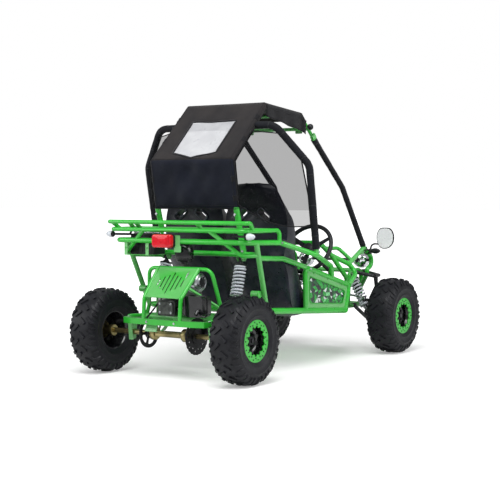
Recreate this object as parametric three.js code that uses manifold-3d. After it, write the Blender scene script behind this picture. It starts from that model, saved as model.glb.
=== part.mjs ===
// Off road go kart for two, as an assembly of separate named pieces.
// Lengths are in millimetres. X points to the kart's right, Y forward, Z up.
// Stations along Y are measured from the rear axle, heights from the ground.

import * as THREE from 'three';
import { mergeVertices } from 'three/addons/utils/BufferGeometryUtils.js';
import Module from 'manifold-3d';

const wasm = await Module();
wasm.setup();

// Running gear
const wheelBase = 1416;
const rearTrack = 816;
const frontTrack = 828;
const tyreDiameter = 406;
const tyreWidth = 146;
const tyreWall = 9;
const lugHeight = 7;
const lugCount = 9;
const lugColumns = 3;
const rimDiameter = 176;
const rimWidth = 116;
const rimWall = 5;
const rimFlange = 8;
const rimDiscInset = 35;
const rimDiscThickness = 8;
const beadRingWidth = 34;
const beadRingThickness = 7;
const beadRingNotch = 8;
const beadRingLobes = 10;
const beadWidth = 12;
const frontHubRadius = 24;
const frontHubLength = 56;
const rimSegments = 12;

// Clearances
const gap = 0.3;
const overrun = 3;
const pivotGap = 1.5;

// Tubes
const mainTubeRadius = 12.5;
const floorTubeRadius = 15;
const rackTubeRadius = 10;
const guardTubeRadius = 9.5;
const canopyTubeRadius = 9;
const hoopPadRadius = 18;
const stubTubeRadius = 13;
const tubeBend = 42;
const tightBend = 26;
const tubeSides = 8;
const thinTubeSides = 6;
const smallSides = 6;
const capSides = 8;
const fitSides = 12;
const discSides = 16;
const sheetThickness = 3;

// Floor frame
const floorHalfWidth = 350;
const floorRearY = 266;
const floorRearZ = 310;
const floorKneeY = 1000;
const floorKneeZ = 258;
const noseHalfWidth = 168;
const noseRearY = 1332;
const noseFrontY = 1496;
const noseZ = 247;
const seatBeamY = 808;

// Side frames
const railRearHalfWidth = 372;
const railRearY = 42;
const railRearZ = 636;
const railShoulderHalfWidth = 400;
const railShoulderY = 300;
const railShoulderZ = 630;
const railBulgeY = 503;
const railBulgeZ = 566;
const railJointShare = 0.16;
const railDropHalfWidth = 376;
const railDropY = 812;
const railDropZ = 496;
const railFootY = 866;
const panelTopRearY = 603;
const panelTopRearZ = 501;
const panelTopFrontY = 1039;
const panelTopFrontZ = 386;
const panelBottomFrontY = 998;
const panelBottomRearY = 613;
const panelBorder = 36;
const panelRim = 9;
const panelCorner = 16;
const sidePostTopY = 130;
const seatRailKinkHalfWidth = 368;

// Rear frame
const topBeamY = 222;
const topBeamZ = 574;
const topBeamHalfWidth = 300;
const braceTopHalfWidth = 192;
const braceKneeHalfWidth = 338;
const braceKneeY = 74;
const bossY = 200;
const bossZ = 392;
const bossRadius = 17;
const bossEndX = 352;
const bossLength = 40;
const seatBarY = 378;
const seatBarZ = 551;
const pivotY = 330;
const pivotZ = 262;
const pivotTubeRadius = 15;
const pivotHalfLength = 262;
const pivotPinRadius = 7;
const pivotPinLength = 30;
const earThickness = 6;

// Roll hoop
const hoopBaseHalfWidth = 478;
const hoopBaseZ = 596;
const hoopKneeHalfWidth = 484;
const hoopKneeY = 424;
const hoopKneeZ = 992;
const hoopTopHalfWidth = 340;
const hoopTopY = 345;
const hoopTopZ = 1182;
const hoopBend = 80;

// Canopy
const canopyFootHalfWidth = 250;
const canopyPostRadius = 14;
const pillarSleeveRadius = 13;
const headerHalfWidth = 206;
const headerY = 866;
const headerZ = 1190;
const canopyPostHalfWidth = 232;
const canopyPostY = 212;
const canopyPostZ = 700;
const canopyHemY = 186;
const canopyHemZ = 788;
const canopyKneeY = 148;
const canopyKneeZ = 1014;
const roofRearY = 430;
const roofRearZ = 1284;
const roofRearHalfWidth = 226;
const roofFrontY = 806;
const roofFrontZ = 1258;
const roofFrontHalfWidth = 196;
const pillarTopHalfWidth = 216;
const pillarTopY = 892;
const pillarTopZ = 1150;
const pillarMidHalfWidth = 216;
const pillarMidY = 1200;
const pillarMidZ = 894;
const pillarFootHalfWidth = 250;
const pillarFootY = 1378;
const pillarFootZ = 566;
const clothThickness = 3;
const clothSag = 7;
const clothFold = 5;
const clothFlap = 14;
const clothHemShare = 0.08;
const netThickness = 3;
const netLowHoopZ = 700;
const netMidShares = [0.55, 0.5, 0.12];
const netTopShares = [0.52, 0.78];

// Cargo rack
const rackHalfWidth = 390;
const rackY = 24;
const rackZ = 688;
const rackFrontHalfWidth = 402;
const rackFrontY = 292;
const rackRise = 36;
const rackStep = 16;
const rackUpperEndY = 92;
const rackStrutShares = [-0.72, -0.62, 0.31];
const rackStrutReach = 46;

// Front frame
const dashHalfWidth = 250;
const dashY = 912;
const dashZ = 606;
const dashMidY = 1030;
const dashMidZ = 538;
const dashFootY = 1190;
const hipHalfWidth = 288;
const hipY = 1258;
const hipZ = 456;
const dashFootHalfWidth = 262;
const dashFootZ = 411;
const dashFootBendY = 1172;
const hoodTubeHalfWidth = 215;
const hoodTubeRearY = 960;
const hoodTubeY = 1080;
const hoodTubeZ = 571;
const hoodTubeFrontY = 1160;
const hoodTubeEndShare = 0.2;
const pillarStayShare = 0.62;
const noseLoopHalfWidth = 246;
const noseLoopY = 1472;
const noseLoopTopZ = 512;
const noseLoopLowZ = 464;
const noseLoopBackY = 1424;
const noseLoopBackZ = 448;
const noseLoopTailZ = 420;
const noseLoopFootZ = 350;
const towerHalfWidth = 178;
const towerTopZ = 438;

// Front suspension
const lowerPivotZ = 250;
const lowerBallX = 322;
const lowerBallZ = 140;
const upperPivotZ = 432;
const upperBallX = 304;
const upperBallZ = 414;
const armSpread = 50;
const armTubeRadius = 10;
const armBushRadius = 12;
const armBushHalfLength = 15;
const armPinRadius = 5;
const ballHalfLength = 13;
const ballBushRadius = 12;
const upperBushHalfLength = 20;
const armCrossShare = 0.5;
const bracketPlate = 6;
const bracketHalfDepth = 14;
const strapReach = 36;
const kingpinRadius = 9;
const kingpinSpan = 144;
const legRadius = 6;
const spindleHousingRadius = 19;
const spindleZ = tyreDiameter / 2;
const spindleRadius = 12;
const steerArmLength = 92;
const steerArmX = 286;
const steerArmRadius = 7;
const steerEyeRadius = 11;
const tieRodRadius = 6;
const tieEyeRadius = 10;
const tieEyeHeight = 12;
const tieEndGap = 4;
const spindleStub = 12;

// Shock absorbers
const rearShockX = 222;
const rearShockTopY = 244;
const rearShockTopZ = 552;
const rearShockBottomY = 190;
const rearShockBottomZ = 352;
const frontShockTopX = 158;
const frontShockY = 1404;
const frontShockTopZ = 416;
const frontShockBottomX = 262;
const frontShockBottomZ = 222;
const shockEyeRadius = 11;
const shockEyeHalfLength = 11;
const shockBoltRadius = 5;
const shockBodyRadius = 15;
const shockNeckRadius = 9;
const shockRodRadius = 6;
const shockCapRadius = 30;
const shockCapThickness = 6;
const springRadius = 25;
const springWireRadius = 4;
const springTurns = 5;
const springSteps = 8;
const springSides = 5;
const springEndShare = 3.4;
const springLeadAngle = 0.3;
const shockCapReach = 34;
const shockBodyShare = 0.52;
const shockTravel = 20;

// Rear cradle and axle
const axleZ = tyreDiameter / 2;
const cradleHalfWidth = 236;
const cradleEndY = -30;
const cradleZ = 276;
const cradleCrossY = 72;
const cradleFrontCrossY = 160;
const bumperHalfWidth = 246;
const bumperCornerHalfWidth = 235;
const bumperCornerY = -72;
const bumperMidHalfWidth = 112;
const bumperY = -94;
const bumperZ = 266;
const bumperHeight = 27;
const bumperDepth = 20;
const guardHalfWidth = 182;
const guardTopY = 56;
const guardTopZ = 508;
const guardLegHalfWidth = 212;
const guardLegY = 92;
const guardLegZ = 326;
const guardPlateTopHalfWidth = 118;
const guardFootY = 100;
const guardPlateTopY = 46;
const guardPlateBottomHalfWidth = 106;
const guardBraceRadius = 7;
const guardBraceShare = 0.62;
const guardPlateBottomY = -76;
const guardPlateBottomZ = 378;
const slotWidth = 6;
const slotPitch = 17;
const slotLengths = [26, 42, 58, 70, 68, 56, 40, 24];
const slotLean = 18;
const hangerHalfDepth = 30;
const hangerBottomZ = 168;
const hangerThickness = 6;
const cradleBoreRadius = 8.5;
const carrierLeft = 118;
const carrierRight = 92;
const carrierTabX = -60;
const carrierRadius = 15;
const carrierCapRadius = 30;
const carrierCapLength = 26;
const axleShaftRadius = 12.5;
const axleHubRadius = 26;
const axleHubLength = 70;
const axleStub = 12;
const hubFlangeRadius = 44;
const hubFlangeThickness = 8;
const sprocketX = -140;
const sprocketRadius = 70;
const sprocketThickness = 6;
const sprocketTeeth = 18;
const sprocketTooth = 5;
const sprocketHubRadius = 24;
const sprocketHubLength = 12;
const sprocketHoleCount = 5;
const sprocketHoleRadius = 11;
const sprocketHoleCircle = 42;
const discX = 140;
const discRadius = 86;
const discThickness = 5;
const discHoleCount = 6;
const discHoleRadius = 7;
const discHoleCircle = 62;

// Engine
const engineY = 70;
const engineZ = 352;
const engineHalfWidth = 75;
const crankcaseRadius = 62;
const housingY = 56;
const housingZ = 440;
const housingRadius = 48;
const footHalfWidth = 60;
const fanCoverY = 54;
const fanCoverZ = 448;
const fanCoverRadius = 42;
const fanCoverDepth = 62;
const clutchCoverRadius = 50;
const clutchCoverDepth = 34;
const outputY = 104;
const outputZ = 334;
const outputRadius = 9;
const outputSprocketRadius = 24;
const cylinderRearY = -48;
const cylinderZ = 330;
const cylinderHalfHeight = 30;
const cylinderHalfWidth = 34;
const finHalfWidth = 50;
const finHalfHeight = 36;
const finThickness = 4;
const finPitch = 13;
const finCount = 5;
const caseArcShares = [0, 0.25, 0.5, 0.75, 1];
const intakeX = -6;
const intakeY = 78;
const intakeZ = 440;
const intakeRadius = 16;
const filterRadius = 44;
const filterY = 100;
const filterZ = 582;
const filterNeck = 9;
const filterNeckShare = 0.7;
const mufflerX = 160;
const mufflerY = -20;
const mufflerZ = 344;
const mufflerWidth = 104;
const mufflerDepth = 68;
const mufflerHeight = 96;
const mufflerPipeRadius = 13;
const mufflerPipeY = -14;

// Seats
const seatCentreX = 186;
const seatThickness = 42;
const seatBolster = 34;
const seatProfile = [
  { y: 372, z: 905, halfWidth: 120 },
  { y: 384, z: 850, halfWidth: 168 },
  { y: 392, z: 740, halfWidth: 178 },
  { y: 391.2, z: 640, halfWidth: 176 },
  { y: 391.2, z: 548, halfWidth: 162 },
  { y: 432, z: 460, halfWidth: 158 },
  { y: 458, z: 380, halfWidth: 152 },
  { y: 492, z: 304, halfWidth: 146 },
  { y: 552, z: 262, halfWidth: 143 },
  { y: 650, z: 250, halfWidth: 143 },
  { y: 750, z: 266, halfWidth: 143 },
  { y: 830, z: 290, halfWidth: 140 },
  { y: 874, z: 302, halfWidth: 128 },
];
const seatColumnShares = [-1, -0.72, 0, 0.72, 1];
const seatBolsterShares = [0.3, 1, 0, 1, 0.3];
const seatBolsterRow = 2;
const seatHeadShare = 0.4;
const seatSlotX = 55;
const seatSlotZ = 770;
const seatSlotWidth = 46;
const seatSlotHeight = 20;

// Steering
const steeringX = 212;
const steeringY = 856;
const steeringZ = 578;
const steeringRadius = 132;
const steeringRimRadius = 11;
const rimSides = 18;
const spokeAngles = [30, 150, 270];
const spokeRadius = 7;
const hubDrop = 18;
const hubRise = 8;
const steeringHubRadius = 28;
const columnAngle = 30;
const columnRadius = 10;
const columnLength = 236;
const jointBallRadius = 9;
const pinionX = 100;
const pinionRadius = 14;
const rackPlateX = 60;
const rackBarY = 1306;
const rackBarZ = 318;
const rackBarRadius = 11;
const rackBarHalfLength = 150;

// Pedals
const throttleX = 176;
const brakeX = 66;
const pedalPivotY = 1250;
const pedalPivotZ = 252;
const pedalLean = 18;
const pedalHeight = 128;
const pedalWidth = 52;
const pedalPadHeight = 56;
const pedalBushRadius = 9;
const pedalBushHalfLength = 12;
const pedalPinRadius = 4;
const pedalArmWidth = 14;
const pedalArmDepth = 8;

// Lamps, mirrors and battery
const headlightX = 176;
const headlightY = 1462;
const headlightZ = 494;
const headlightRadius = 46;
const headlightDepth = 58;
const bowlNeckShare = 0.45;
const bowlRimShare = 0.1;
const headlightBarRadius = 8;
const mirrorX = 352;
const mirrorY = 1440;
const mirrorZ = 618;
const mirrorWidth = 108;
const mirrorHeight = 116;
const mirrorDepth = 16;
const mirrorShares = [[-0.55, -1], [0.35, -1], [0.95, -0.45], [1, 0.35], [0.6, 1], [-0.6, 1], [-1, 0.4], [-0.95, -0.4]];
const mirrorArmRadius = 5;
const mirrorBaseRadius = 9;
const mirrorBaseHeight = 24;
const mirrorBaseY = 1420;
const lampX = -68;
const lampZ = 637;
const lampWidth = 105;
const lampHeight = 62;
const lampDepth = 34;
const batteryX = -249;
const batteryWidth = 148;
const batteryHeight = 98;
const batteryZ = 617;
const strapWidth = 18;
const lampPlateShift = 34;
const lampPlateWidth = 112;
const lampPlateHeight = 54;
const batteryDepth = 86;
const batteryLip = 4;

// Paint and finishes
const green = { color: 0x2fbf3c, roughness: 0.35, metalness: 0.1 };
const black = { color: 0x16181c, roughness: 0.55, metalness: 0.1 };
const rubber = { color: 0x23252a, roughness: 0.9, metalness: 0 };
const foam = { color: 0x2c3038, roughness: 0.85, metalness: 0 };
const cloth = { color: 0x26262a, roughness: 0.95, metalness: 0 };
const mesh = { color: 0x5a5c60, roughness: 0.9, metalness: 0 };
const vinyl = { color: 0x1b2028, roughness: 0.5, metalness: 0 };
const steel = { color: 0xa8acb0, roughness: 0.35, metalness: 1 };
const castAlloy = { color: 0x8c8f90, roughness: 0.55, metalness: 0.8 };
const whiteCoat = { color: 0xe4e7ee, roughness: 0.4, metalness: 0.1 };
const olivePlate = { color: 0x8a7f4a, roughness: 0.4, metalness: 0.9 };
const redLens = { color: 0xd81f2f, roughness: 0.2, metalness: 0 };

const kart = new THREE.Group();
kart.position.y = -wheelBase / 2;
const up = new THREE.Vector3(0, 0, 1);
const right = new THREE.Vector3(1, 0, 0);
const forward = new THREE.Vector3(0, 1, 0);

function point(x, y, z) {
  return new THREE.Vector3(x, y, z);
}

function between(a, b, share) {
  return new THREE.Vector3().lerpVectors(a, b, share);
}

// Solids: closed triangle meshes that can be joined and cut
function toSolid(geometry) {
  const bare = new THREE.BufferGeometry();
  bare.setAttribute('position', geometry.getAttribute('position'));
  if (geometry.index) {
    bare.setIndex(geometry.index);
  }
  const merged = mergeVertices(bare);
  const corners = merged.getAttribute('position').array;
  const kept = [];
  let volume = 0;
  const a = new THREE.Vector3();
  const b = new THREE.Vector3();
  const c = new THREE.Vector3();
  for (let i = 0; i < merged.index.count; i += 3) {
    const [p, q, r] = [0, 1, 2].map((k) => merged.index.getX(i + k));
    if (p === q || q === r || r === p) {
      continue;
    }
    kept.push(p, q, r);
    a.fromArray(corners, p * 3);
    b.fromArray(corners, q * 3);
    c.fromArray(corners, r * 3);
    volume += a.dot(b.cross(c));
  }
  if (volume < 0) {
    kept.reverse();
  }
  const vertProperties = new Float32Array(corners);
  const triVerts = new Uint32Array(kept);
  return new wasm.Manifold(new wasm.Mesh({ numProp: 3, vertProperties, triVerts }));
}

function join(...solids) {
  return solids.flat().reduce((sum, solid) => sum.add(solid));
}

function cut(solid, ...cutters) {
  return cutters.flat().reduce((rest, cutter) => rest.subtract(cutter), solid);
}

function addPiece(name, solid, finish) {
  const data = solid.getMesh();
  const geometry = new THREE.BufferGeometry();
  geometry.setAttribute('position', new THREE.BufferAttribute(data.vertProperties, 3));
  geometry.setIndex(new THREE.BufferAttribute(data.triVerts, 1));
  const piece = new THREE.Mesh(geometry, new THREE.MeshStandardMaterial({ flatShading: true, ...finish }));
  piece.name = name;
  kart.add(piece);
}

// A tube's centre line: straight runs with an arc at each corner
class BentLine extends THREE.Curve {
  constructor(corners, bend) {
    super();
    this.places = [];
    this.tangents = [];
    const last = corners.length - 1;
    const runs = corners.slice(1).map((corner, i) => corner.clone().sub(corners[i]));
    const ways = runs.map((run) => run.clone().normalize());
    this.addStation(corners[0], ways[0]);
    for (let i = 1; i < last; i += 1) {
      const turn = ways[i - 1].angleTo(ways[i]);
      const room = Math.min(runs[i - 1].length(), runs[i].length()) * bendRoomShare;
      const setback = Math.min(bend * Math.tan(turn / 2), room);
      const radius = setback / Math.tan(turn / 2);
      if (turn < mitreTurn) {
        this.addStation(corners[i], ways[i - 1].clone().add(ways[i]).normalize());
        continue;
      }
      const steps = Math.max(1, Math.round(turn / arcStep));
      const axis = ways[i - 1].clone().cross(ways[i]).normalize();
      const inward = axis.clone().cross(ways[i - 1]);
      const start = corners[i].clone().addScaledVector(ways[i - 1], -setback);
      const centre = start.clone().addScaledVector(inward, radius);
      for (let k = 0; k <= steps; k += 1) {
        const angle = (turn * k) / steps;
        const place = start.clone().sub(centre).applyAxisAngle(axis, angle).add(centre);
        this.addStation(place, ways[i - 1].clone().applyAxisAngle(axis, angle));
      }
    }
    this.addStation(corners[last], ways[last - 1]);
  }

  addStation(place, way) {
    this.places.push(place.clone());
    this.tangents.push(way.clone());
  }

  get spans() {
    return this.places.length - 1;
  }

  getPointAt(share) {
    return this.places[Math.round(share * this.spans)].clone();
  }

  getPoint(share) {
    return this.getPointAt(share);
  }

  getTangentAt(share) {
    return this.tangents[Math.round(share * this.spans)].clone();
  }
}

const bendRoomShare = 0.48;
const mitreTurn = THREE.MathUtils.degToRad(34);
const arcStep = THREE.MathUtils.degToRad(60);

function roundSection(radius, sides) {
  const ring = [];
  for (let i = 0; i < sides; i += 1) {
    const angle = (2 * Math.PI * (i + 0.5)) / sides;
    ring.push(new THREE.Vector2(radius * Math.cos(angle), radius * Math.sin(angle)));
  }
  return new THREE.Shape(ring);
}

function sweep(section, corners, bend) {
  const line = new BentLine(corners, bend);
  return toSolid(new THREE.ExtrudeGeometry(section, { steps: line.spans, extrudePath: line }));
}

function tube(corners, radius, bend = tubeBend, sides = tubeSides) {
  return sweep(roundSection(radius, sides), corners, bend);
}

// Tubes are kept as plans, so that a neighbour can be cut with a clearance round them
function plan(corners, radius, bend = tubeBend) {
  return { corners, radius, bend, sides: radius > mainTubeRadius ? tubeSides : thinTubeSides };
}

function build(plans, extra = 0) {
  return join(plans.map((item) => tube(item.corners, item.radius + extra, item.bend, item.sides)));
}

function clearOf(solid, plans) {
  return cut(solid, plans.map((item) => tube(item.corners, item.radius + gap, item.bend, item.sides)));
}

function mirrored(corners) {
  return corners.map((corner) => point(-corner.x, corner.y, corner.z));
}

function bothSides(item) {
  return [item, { ...item, corners: mirrored(item.corners) }];
}

function across(halfWidth, y, z, radius) {
  return plan([point(-halfWidth, y, z), point(halfWidth, y, z)], radius);
}

// A full loop: the right side's corners followed by their mirror image
function hoopPlan(corners, radius, bend = tubeBend) {
  return plan([...corners, ...mirrored(corners).reverse()], radius, bend);
}

function rod(from, to, radius, sides = smallSides) {
  const way = to.clone().sub(from);
  const geometry = new THREE.CylinderGeometry(radius, radius, way.length(), sides);
  geometry.applyQuaternion(new THREE.Quaternion().setFromUnitVectors(forward, way.clone().normalize()));
  const middle = between(from, to, 0.5);
  geometry.translate(middle.x, middle.y, middle.z);
  return toSolid(geometry);
}

// A cutter whose flats, not its corners, lie at the given radius, so that a round pin turns freely in it
function bore(from, to, radius, sides = smallSides) {
  return rod(from, to, radius / Math.cos(Math.PI / sides), sides);
}

function block(centre, width, depth, height) {
  const geometry = new THREE.BoxGeometry(width, depth, height);
  geometry.translate(centre.x, centre.y, centre.z);
  return toSolid(geometry);
}

// A flat outline given as [along, up] pairs, thickened along the third direction
function plate(outline, thickness, origin, along, upward, holes = []) {
  const shape = new THREE.Shape(outline.map(([u, v]) => new THREE.Vector2(u, v)));
  for (const hole of holes) {
    shape.holes.push(new THREE.Path(hole.map(([u, v]) => new THREE.Vector2(u, v))));
  }
  const geometry = new THREE.ExtrudeGeometry(shape, { depth: thickness, bevelEnabled: false });
  const normal = along.clone().cross(upward).normalize();
  const matrix = new THREE.Matrix4().makeBasis(along, upward, normal);
  geometry.applyMatrix4(matrix.setPosition(origin));
  return toSolid(geometry);
}

// A body turned round an axis; the profile is a list of [radius, distance along the axis]
function turned(profile, origin, axis, segments = 20) {
  const geometry = new THREE.LatheGeometry(profile.map(([r, h]) => new THREE.Vector2(r, h)), segments);
  geometry.applyQuaternion(new THREE.Quaternion().setFromUnitVectors(forward, axis));
  geometry.translate(origin.x, origin.y, origin.z);
  return toSolid(geometry);
}

// A sheet through a grid of places, thickened along its own normals by one value or by a function of the place
function sheet(rows, thickness) {
  const count = rows[0].length;
  const thicknessAt = typeof thickness === 'function' ? thickness : () => thickness;
  const normalAt = (i, j) => {
    const before = rows[Math.max(i - 1, 0)][j];
    const after = rows[Math.min(i + 1, rows.length - 1)][j];
    const left = rows[i][Math.max(j - 1, 0)];
    const next = rows[i][Math.min(j + 1, count - 1)];
    return next.clone().sub(left).cross(after.clone().sub(before)).normalize();
  };
  const corners = [];
  for (const side of [0, 1]) {
    rows.forEach((row, i) => row.forEach((place, j) => {
      corners.push(place.clone().addScaledVector(normalAt(i, j), side * thicknessAt(i, j)));
    }));
  }
  const index = (side, i, j) => side * rows.length * count + i * count + j;
  const faces = [];
  const quad = (a, b, c, d) => faces.push(a, b, c, a, c, d);
  for (let i = 0; i + 1 < rows.length; i += 1) {
    for (let j = 0; j + 1 < count; j += 1) {
      quad(index(1, i, j), index(1, i, j + 1), index(1, i + 1, j + 1), index(1, i + 1, j));
      quad(index(0, i, j), index(0, i + 1, j), index(0, i + 1, j + 1), index(0, i, j + 1));
    }
    quad(index(0, i, 0), index(1, i, 0), index(1, i + 1, 0), index(0, i + 1, 0));
    quad(index(1, i, count - 1), index(0, i, count - 1), index(0, i + 1, count - 1), index(1, i + 1, count - 1));
  }
  for (let j = 0; j + 1 < count; j += 1) {
    const end = rows.length - 1;
    quad(index(0, 0, j), index(0, 0, j + 1), index(1, 0, j + 1), index(1, 0, j));
    quad(index(1, end, j), index(1, end, j + 1), index(0, end, j + 1), index(0, end, j));
  }
  const geometry = new THREE.BufferGeometry();
  geometry.setAttribute('position', new THREE.Float32BufferAttribute(corners.flatMap((p) => p.toArray()), 3));
  geometry.setIndex(faces);
  return toSolid(geometry);
}

function changed(solid, change) {
  const data = solid.getMesh();
  const geometry = new THREE.BufferGeometry();
  geometry.setAttribute('position', new THREE.BufferAttribute(data.vertProperties.slice(), 3));
  geometry.setIndex(new THREE.BufferAttribute(data.triVerts, 1));
  change(geometry);
  return toSolid(geometry);
}

// A copy of a solid on the kart's other side
function otherSide(solid) {
  return changed(solid, (geometry) => geometry.scale(-1, 1, 1));
}

function addPair(name, solid, finish) {
  addPiece(`${name}_right`, solid, finish);
  addPiece(`${name}_left`, otherSide(solid), finish);
}

// Floor frame: one bent rail round the floor, cross tubes, the welded floor sheet and the pivot ears
const floorRear = point(floorHalfWidth, floorRearY, floorRearZ);
const floorKnee = point(floorHalfWidth, floorKneeY, floorKneeZ);
const noseRear = point(noseHalfWidth, noseRearY, noseZ);
const noseFront = point(noseHalfWidth, noseFrontY, noseZ);

function onFloorRail(y) {
  return between(floorRear, floorKnee, (y - floorRearY) / (floorKneeY - floorRearY));
}

const seatBeam = onFloorRail(seatBeamY);
const pivotBeam = onFloorRail(pivotY);
const floorRail = hoopPlan([noseFront, noseRear, floorKnee, floorRear], floorTubeRadius);
const floorCrosses = [pivotBeam, seatBeam, floorKnee, noseRear, noseFront].map(
  (place) => across(place.x, place.y, place.z, mainTubeRadius),
);
const floorPlans = [floorRail, ...floorCrosses];

function floorSheet() {
  const rows = [seatBeam, floorKnee, noseRear].map((place) => {
    const low = place.z - mainTubeRadius;
    return [point(-place.x, place.y, low), point(place.x, place.y, low)];
  });
  return sheet(rows, sheetThickness);
}

const earChamferShare = 0.72;

function pivotEar() {
  const outer = pivotTubeRadius + earThickness;
  const top = pivotBeam.z - pivotZ;
  const outline = [
    [-outer, 0], [-outer * earChamferShare, -outer * earChamferShare], [0, -outer],
    [outer * earChamferShare, -outer * earChamferShare], [outer, 0], [mainTubeRadius, top], [-mainTubeRadius, top],
  ];
  const inner = point(pivotHalfLength + gap, pivotY, pivotZ);
  const ear = plate(outline, earThickness, inner, forward, up);
  const pin = rod(point(inner.x - pivotPinLength, pivotY, pivotZ), inner.clone().setX(inner.x + earThickness),
    pivotPinRadius);
  return join(ear, pin);
}

function rackPlate(x) {
  const edge = rackBarRadius + earThickness;
  const outline = [
    [rackBarY - edge, rackBarZ + edge], [rackBarY - edge, rackBarZ - edge], [noseRearY, noseZ],
    [noseRearY + mainTubeRadius, noseZ], [rackBarY + edge, rackBarZ + edge],
  ];
  const body = plate(outline, earThickness, point(x - earThickness / 2, 0, 0), forward, up);
  return cut(body, bore(point(x - earThickness, rackBarY, rackBarZ), point(x + earThickness, rackBarY, rackBarZ),
    rackBarRadius + gap, fitSides));
}

// Two ears and a pin for each pedal, standing on the floor sheet
function pedalEars(x) {
  const half = pedalBushHalfLength + gap;
  const low = noseZ - mainTubeRadius + sheetThickness / 2;
  const outline = [
    [pedalPivotY - 2 * pedalBushRadius, low], [pedalPivotY + 2 * pedalBushRadius, low],
    [pedalPivotY + earThickness, pedalPivotZ + earThickness], [pedalPivotY - earThickness, pedalPivotZ + earThickness],
  ];
  const ears = [x - half - earThickness, x + half].map((side) => plate(outline, earThickness, point(side, 0, 0),
    forward, up));
  return [...ears, rod(point(x - half - overrun, pedalPivotY, pedalPivotZ),
    point(x + half + overrun, pedalPivotY, pedalPivotZ), pedalPinRadius, thinTubeSides)];
}

const ear = pivotEar();
addPiece('floor_frame', join(build(floorPlans), floorSheet(), ear, otherSide(ear), rackPlate(rackPlateX),
  rackPlate(-rackPlateX), pedalEars(throttleX), pedalEars(brakeX)), green);

// Rear frame: side posts, shoulder rail, beams, seat bar, braces and the battery tray
const railRear = point(railRearHalfWidth, railRearY, railRearZ);
const railShoulder = point(railShoulderHalfWidth, railShoulderY, railShoulderZ);
const railBulge = point(hoopBaseHalfWidth, railBulgeY, railBulgeZ);
const railJoint = between(railShoulder, railBulge, railJointShare);
const railStart = railJoint.clone().add(railBulge.clone().sub(railShoulder).setLength(gap));
const postTop = between(railRear, railShoulder, (sidePostTopY - railRearY) / (railShoulderY - railRearY));

function onPost(z) {
  return between(floorRear, postTop, (z - floorRearZ) / (postTop.z - floorRearZ));
}

const seatRailRear = onPost(topBeamZ - mainTubeRadius);
const seatRailKink = point(seatRailKinkHalfWidth, seatBarY, seatBarZ);
const rearPlans = [
  hoopPlan([railJoint, railShoulder, railRear], mainTubeRadius),
  ...bothSides(plan([floorRear, postTop], mainTubeRadius)),
  hoopPlan([onPost(topBeamZ), point(topBeamHalfWidth, topBeamY, topBeamZ)], mainTubeRadius),
  ...bothSides(plan([
    point(bossEndX - bossLength, bossY, bossZ), point(bossEndX, bossY, bossZ),
  ], bossRadius)),
  ...bothSides(plan([
    point(canopyFootHalfWidth, topBeamY, topBeamZ),
    point(canopyPostHalfWidth, canopyPostY, canopyPostZ),
    point(canopyPostHalfWidth, canopyHemY, canopyHemZ),
  ], canopyPostRadius)),
  ...bothSides(plan([
    point(braceTopHalfWidth, rackY, rackZ),
    point(braceKneeHalfWidth, braceKneeY, topBeamZ),
    onPost(topBeamZ),
  ], rackTubeRadius)),
];
const batteryY = railRearY + batteryDepth;

function batteryTray() {
  const bottom = batteryZ - batteryHeight / 2 - gap - sheetThickness / 2;
  const rear = railRearY;
  const front = batteryY + batteryDepth / 2;
  const tray = block(point(batteryX, (rear + front) / 2, bottom), batteryWidth, front - rear, sheetThickness);
  const straps = [-1, 1].map((end) => block(
    point(batteryX + end * (batteryWidth / 2 - strapWidth / 2), rear, (railRearZ + bottom) / 2),
    strapWidth, sheetThickness, railRearZ - bottom + sheetThickness,
  ));
  return join(tray, straps);
}

// Gussets that tie the short bosses to the side posts
function bossGusset() {
  const post = onPost(bossZ);
  const outline = [
    [bossY, bossZ - mainTubeRadius], [post.y, bossZ - mainTubeRadius],
    [post.y, bossZ + mainTubeRadius], [bossY, bossZ + mainTubeRadius],
  ];
  return plate(outline, earThickness, point(bossEndX - overrun - earThickness, 0, 0), forward, up);
}

function lampPlate() {
  return block(
    point(lampX + lampPlateShift, railRearY - mainTubeRadius, lampZ), lampPlateWidth, sheetThickness, lampPlateHeight,
  );
}

function shockEars(eye, halfGap, reach, holder) {
  return [-1, 1].map((end) => {
    const inner = eye.x + end * halfGap;
    const outline = [
      [-shockEyeRadius, -shockEyeRadius], [shockEyeRadius, -shockEyeRadius],
      [shockEyeRadius + holder, reach], [holder - shockEyeRadius, reach],
    ];
    const origin = point(end > 0 ? inner : inner - earThickness, eye.y, eye.z);
    return plate(outline, earThickness, origin, forward, up);
  });
}

const rearShockTop = point(rearShockX, rearShockTopY, rearShockTopZ);
const rearShockBottom = point(rearShockX, rearShockBottomY, rearShockBottomZ);
const shockEarGap = shockEyeHalfLength + gap;
const rearShockMount = join(
  shockEars(rearShockTop, shockEarGap, topBeamZ - rearShockTopZ, topBeamY - rearShockTopY),
  rod(point(rearShockX - shockEarGap - overrun, rearShockTopY, rearShockTopZ),
    point(rearShockX + shockEarGap + overrun, rearShockTopY, rearShockTopZ), shockBoltRadius),
);
addPiece('rear_frame', clearOf(
  join(build(rearPlans), batteryTray(), lampPlate(), bossGusset(), otherSide(bossGusset()), rearShockMount,
    otherSide(rearShockMount)), floorPlans,
), green);

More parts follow.
